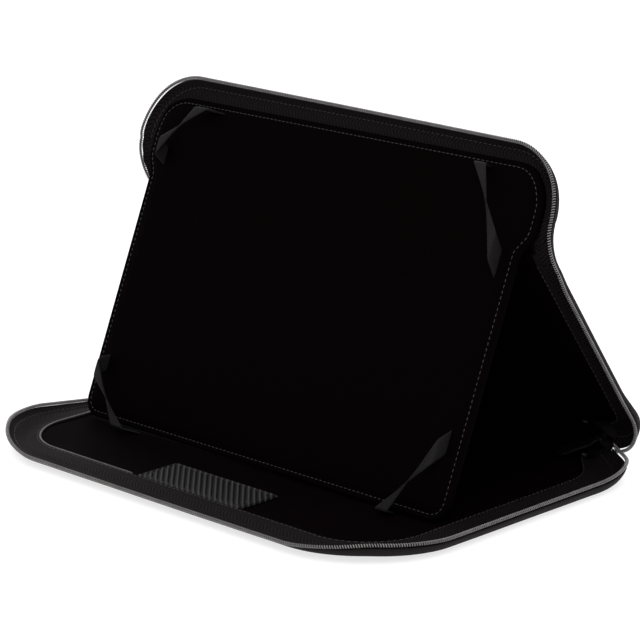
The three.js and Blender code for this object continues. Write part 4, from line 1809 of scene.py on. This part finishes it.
# ---- room, light and camera ----
@dataclass
class Studio:
    """A white floor and room, soft lamps and the camera."""

    eye: tuple[float, float, float] = (0.9886, -1.0034, 0.4643)
    look: tuple[float, float, float] = (-0.672, 0.691, -0.2655)
    right: tuple[float, float, float] = (0.717, 0.697, 0.0)
    lens: float = 158.6
    sensor: float = 36.0

    def camera(self) -> None:
        """Sets the camera by its eye point and the directions it looks and has on its right."""
        look, right = Vector(self.look).normalized(), Vector(self.right).normalized()
        up = right.cross(look).normalized()
        data = bpy.data.cameras.new("camera")
        data.lens, data.sensor_width = self.lens, self.sensor
        data.clip_end = 30
        made = bpy.data.objects.new("camera", data)
        bpy.context.scene.collection.objects.link(made)
        turn = Matrix((right, up, -look)).transposed()
        made.matrix_world = Matrix.Translation(self.eye) @ turn.to_4x4()
        bpy.context.scene.camera = made

    def lamp(self, name: str, place: Sequence[float], size: float, power: float) -> None:
        """Adds a soft square lamp that faces the case.

        Args:
            name: The lamp's name.
            place: Where it is.
            size: The length of its side.
            power: Its power in watts.
        """
        data = bpy.data.lights.new(name, "AREA")
        data.size, data.energy = size, power
        made = bpy.data.objects.new(name, data)
        bpy.context.scene.collection.objects.link(made)
        made.location = place
        made.rotation_euler = (Vector((0, 0, 0.06)) - Vector(place)).to_track_quat("-Z", "Y").to_euler()

    def room(self) -> None:
        """The white floor, the room's even light and the lamps."""
        scene = bpy.context.scene
        scene.view_settings.view_transform = "Standard"
        world = scene.world or bpy.data.worlds.new("room")
        scene.world = world
        world.use_nodes = True
        world.node_tree.nodes["Background"].inputs[0].default_value = (1, 1, 1, 1)
        world.node_tree.nodes["Background"].inputs[1].default_value = 1.0
        points = np.array([[-6, -6, 0], [6, -6, 0], [6, 6, 0], [-6, 6, 0]], float)
        mesh = bpy.data.meshes.new("floor")
        mesh.from_pydata(points.tolist(), [], [(0, 1, 2, 3)])
        paint = Shader("white_floor")
        paint.set(Roughness=0.9, Specular_IOR_Level=0.1)
        paint.principled.inputs["Base Color"].default_value = (0.4, 0.4, 0.4, 1)
        paint.principled.inputs["Emission Color"].default_value = (1, 1, 1, 1)
        paint.set(Emission_Strength=0.72)
        mesh.materials.append(paint.material)
        floor = bpy.data.objects.new("floor", mesh)
        floor.location.z = -0.0004
        scene.collection.objects.link(floor)
        self.lamp("key_lamp", (1.3, -1.6, 2.2), 1.6, 40)
        self.lamp("back_lamp", (-1.8, 1.5, 2.0), 1.6, 30)

    def build(self) -> None:
        """Sets the camera, the room and the lamps."""
        self.camera()
        self.room()


def dress_boards() -> None:
    """Gives the boards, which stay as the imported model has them, their material."""
    for name in ("base_stiffener", "spine_stiffener", "leg_stiffener", "head_stiffener", "panel_board"):
        node = frame["nodes"][name]
        node.data.materials.clear()
        node.data.materials.append(GREY_BOARD.material())


def main() -> None:
    """Builds the room and the case, piece by piece."""
    logging.basicConfig(level=logging.INFO, format="%(message)s")
    Studio().build()
    tray, leg, head = BaseTray(), Leg(), Head()
    for part in (tray, Spine(), leg, head):
        LOG.info("%s", type(part).__name__)
        part.build()
    outer, inner = SHELL_CLOTH, LINING_CLOTH
    folds = [
        FoldCloth("base_fold_cover", outer, BASE, SPINE, (102, 0.5), (4.5, 0.35), 106, ("base_fold_strip",)),
        FoldCloth("spine_fold_cover", outer, SPINE, LEG, (17, 0.35), (7, 0.35), 105, ("spine_fold_strip",)),
        FoldCloth("crease_fold_cover", outer, LEG, HEAD, (134, 0.35), (5, 0.35), 137, ("leg_fold_strip",)),
        FoldCloth("base_fold_lining", inner, BASE, SPINE, (98.0, 4.0), (8.0, 3.9), 104),
        FoldCloth("spine_fold_lining", inner, SPINE, LEG, (14.0, 3.9), (10.0, 4.0), 103),
        FoldCloth("crease_fold_lining", inner, LEG, HEAD, (130.0, 3.8), (4.0, 3.6), 134),
    ]
    for fold in folds:
        fold.build()
    for side in Side:
        label = side.name.lower()
        crease = [(side.value * leg.half, leg.row_end), (side.value * head.half, head.row_start)]
        WallBridge(f"crease_{label}", leg.wall, head.wall, *crease).build()
        Gusset(f"base_gusset_{label}", tray.wall, tray.tail_end, side, (1.0, 11.0)).build()
        Gusset(f"leg_gusset_{label}", leg.wall, leg.row_start, side, (21.0, 11.5)).build()
        CornerWeb(f"corner_web_{label}", side, tray.wall, tray.tail_end, leg.wall, leg.row_start).build()
    Panel().build()
    reaches = {Corner.TOP_LEFT: (97, 64), Corner.TOP_RIGHT: (101, 50), Corner.BOTTOM_LEFT: (94, 61)}
    for corner, along in {**reaches, Corner.BOTTOM_RIGHT: (99, 54)}.items():
        Strap(corner, *along).build()
    MetalPart("zipper_slider", "zip_slider").build()
    MetalPart("zipper_pull", "zip_pull", 0.2).build()
    MetalPart("base_zipper_stop", "base", 0.4).build()
    MetalPart("leg_zipper_stop", "leg", 0.4).build()
    dress_boards()


if __name__ == "__main__":
    main()
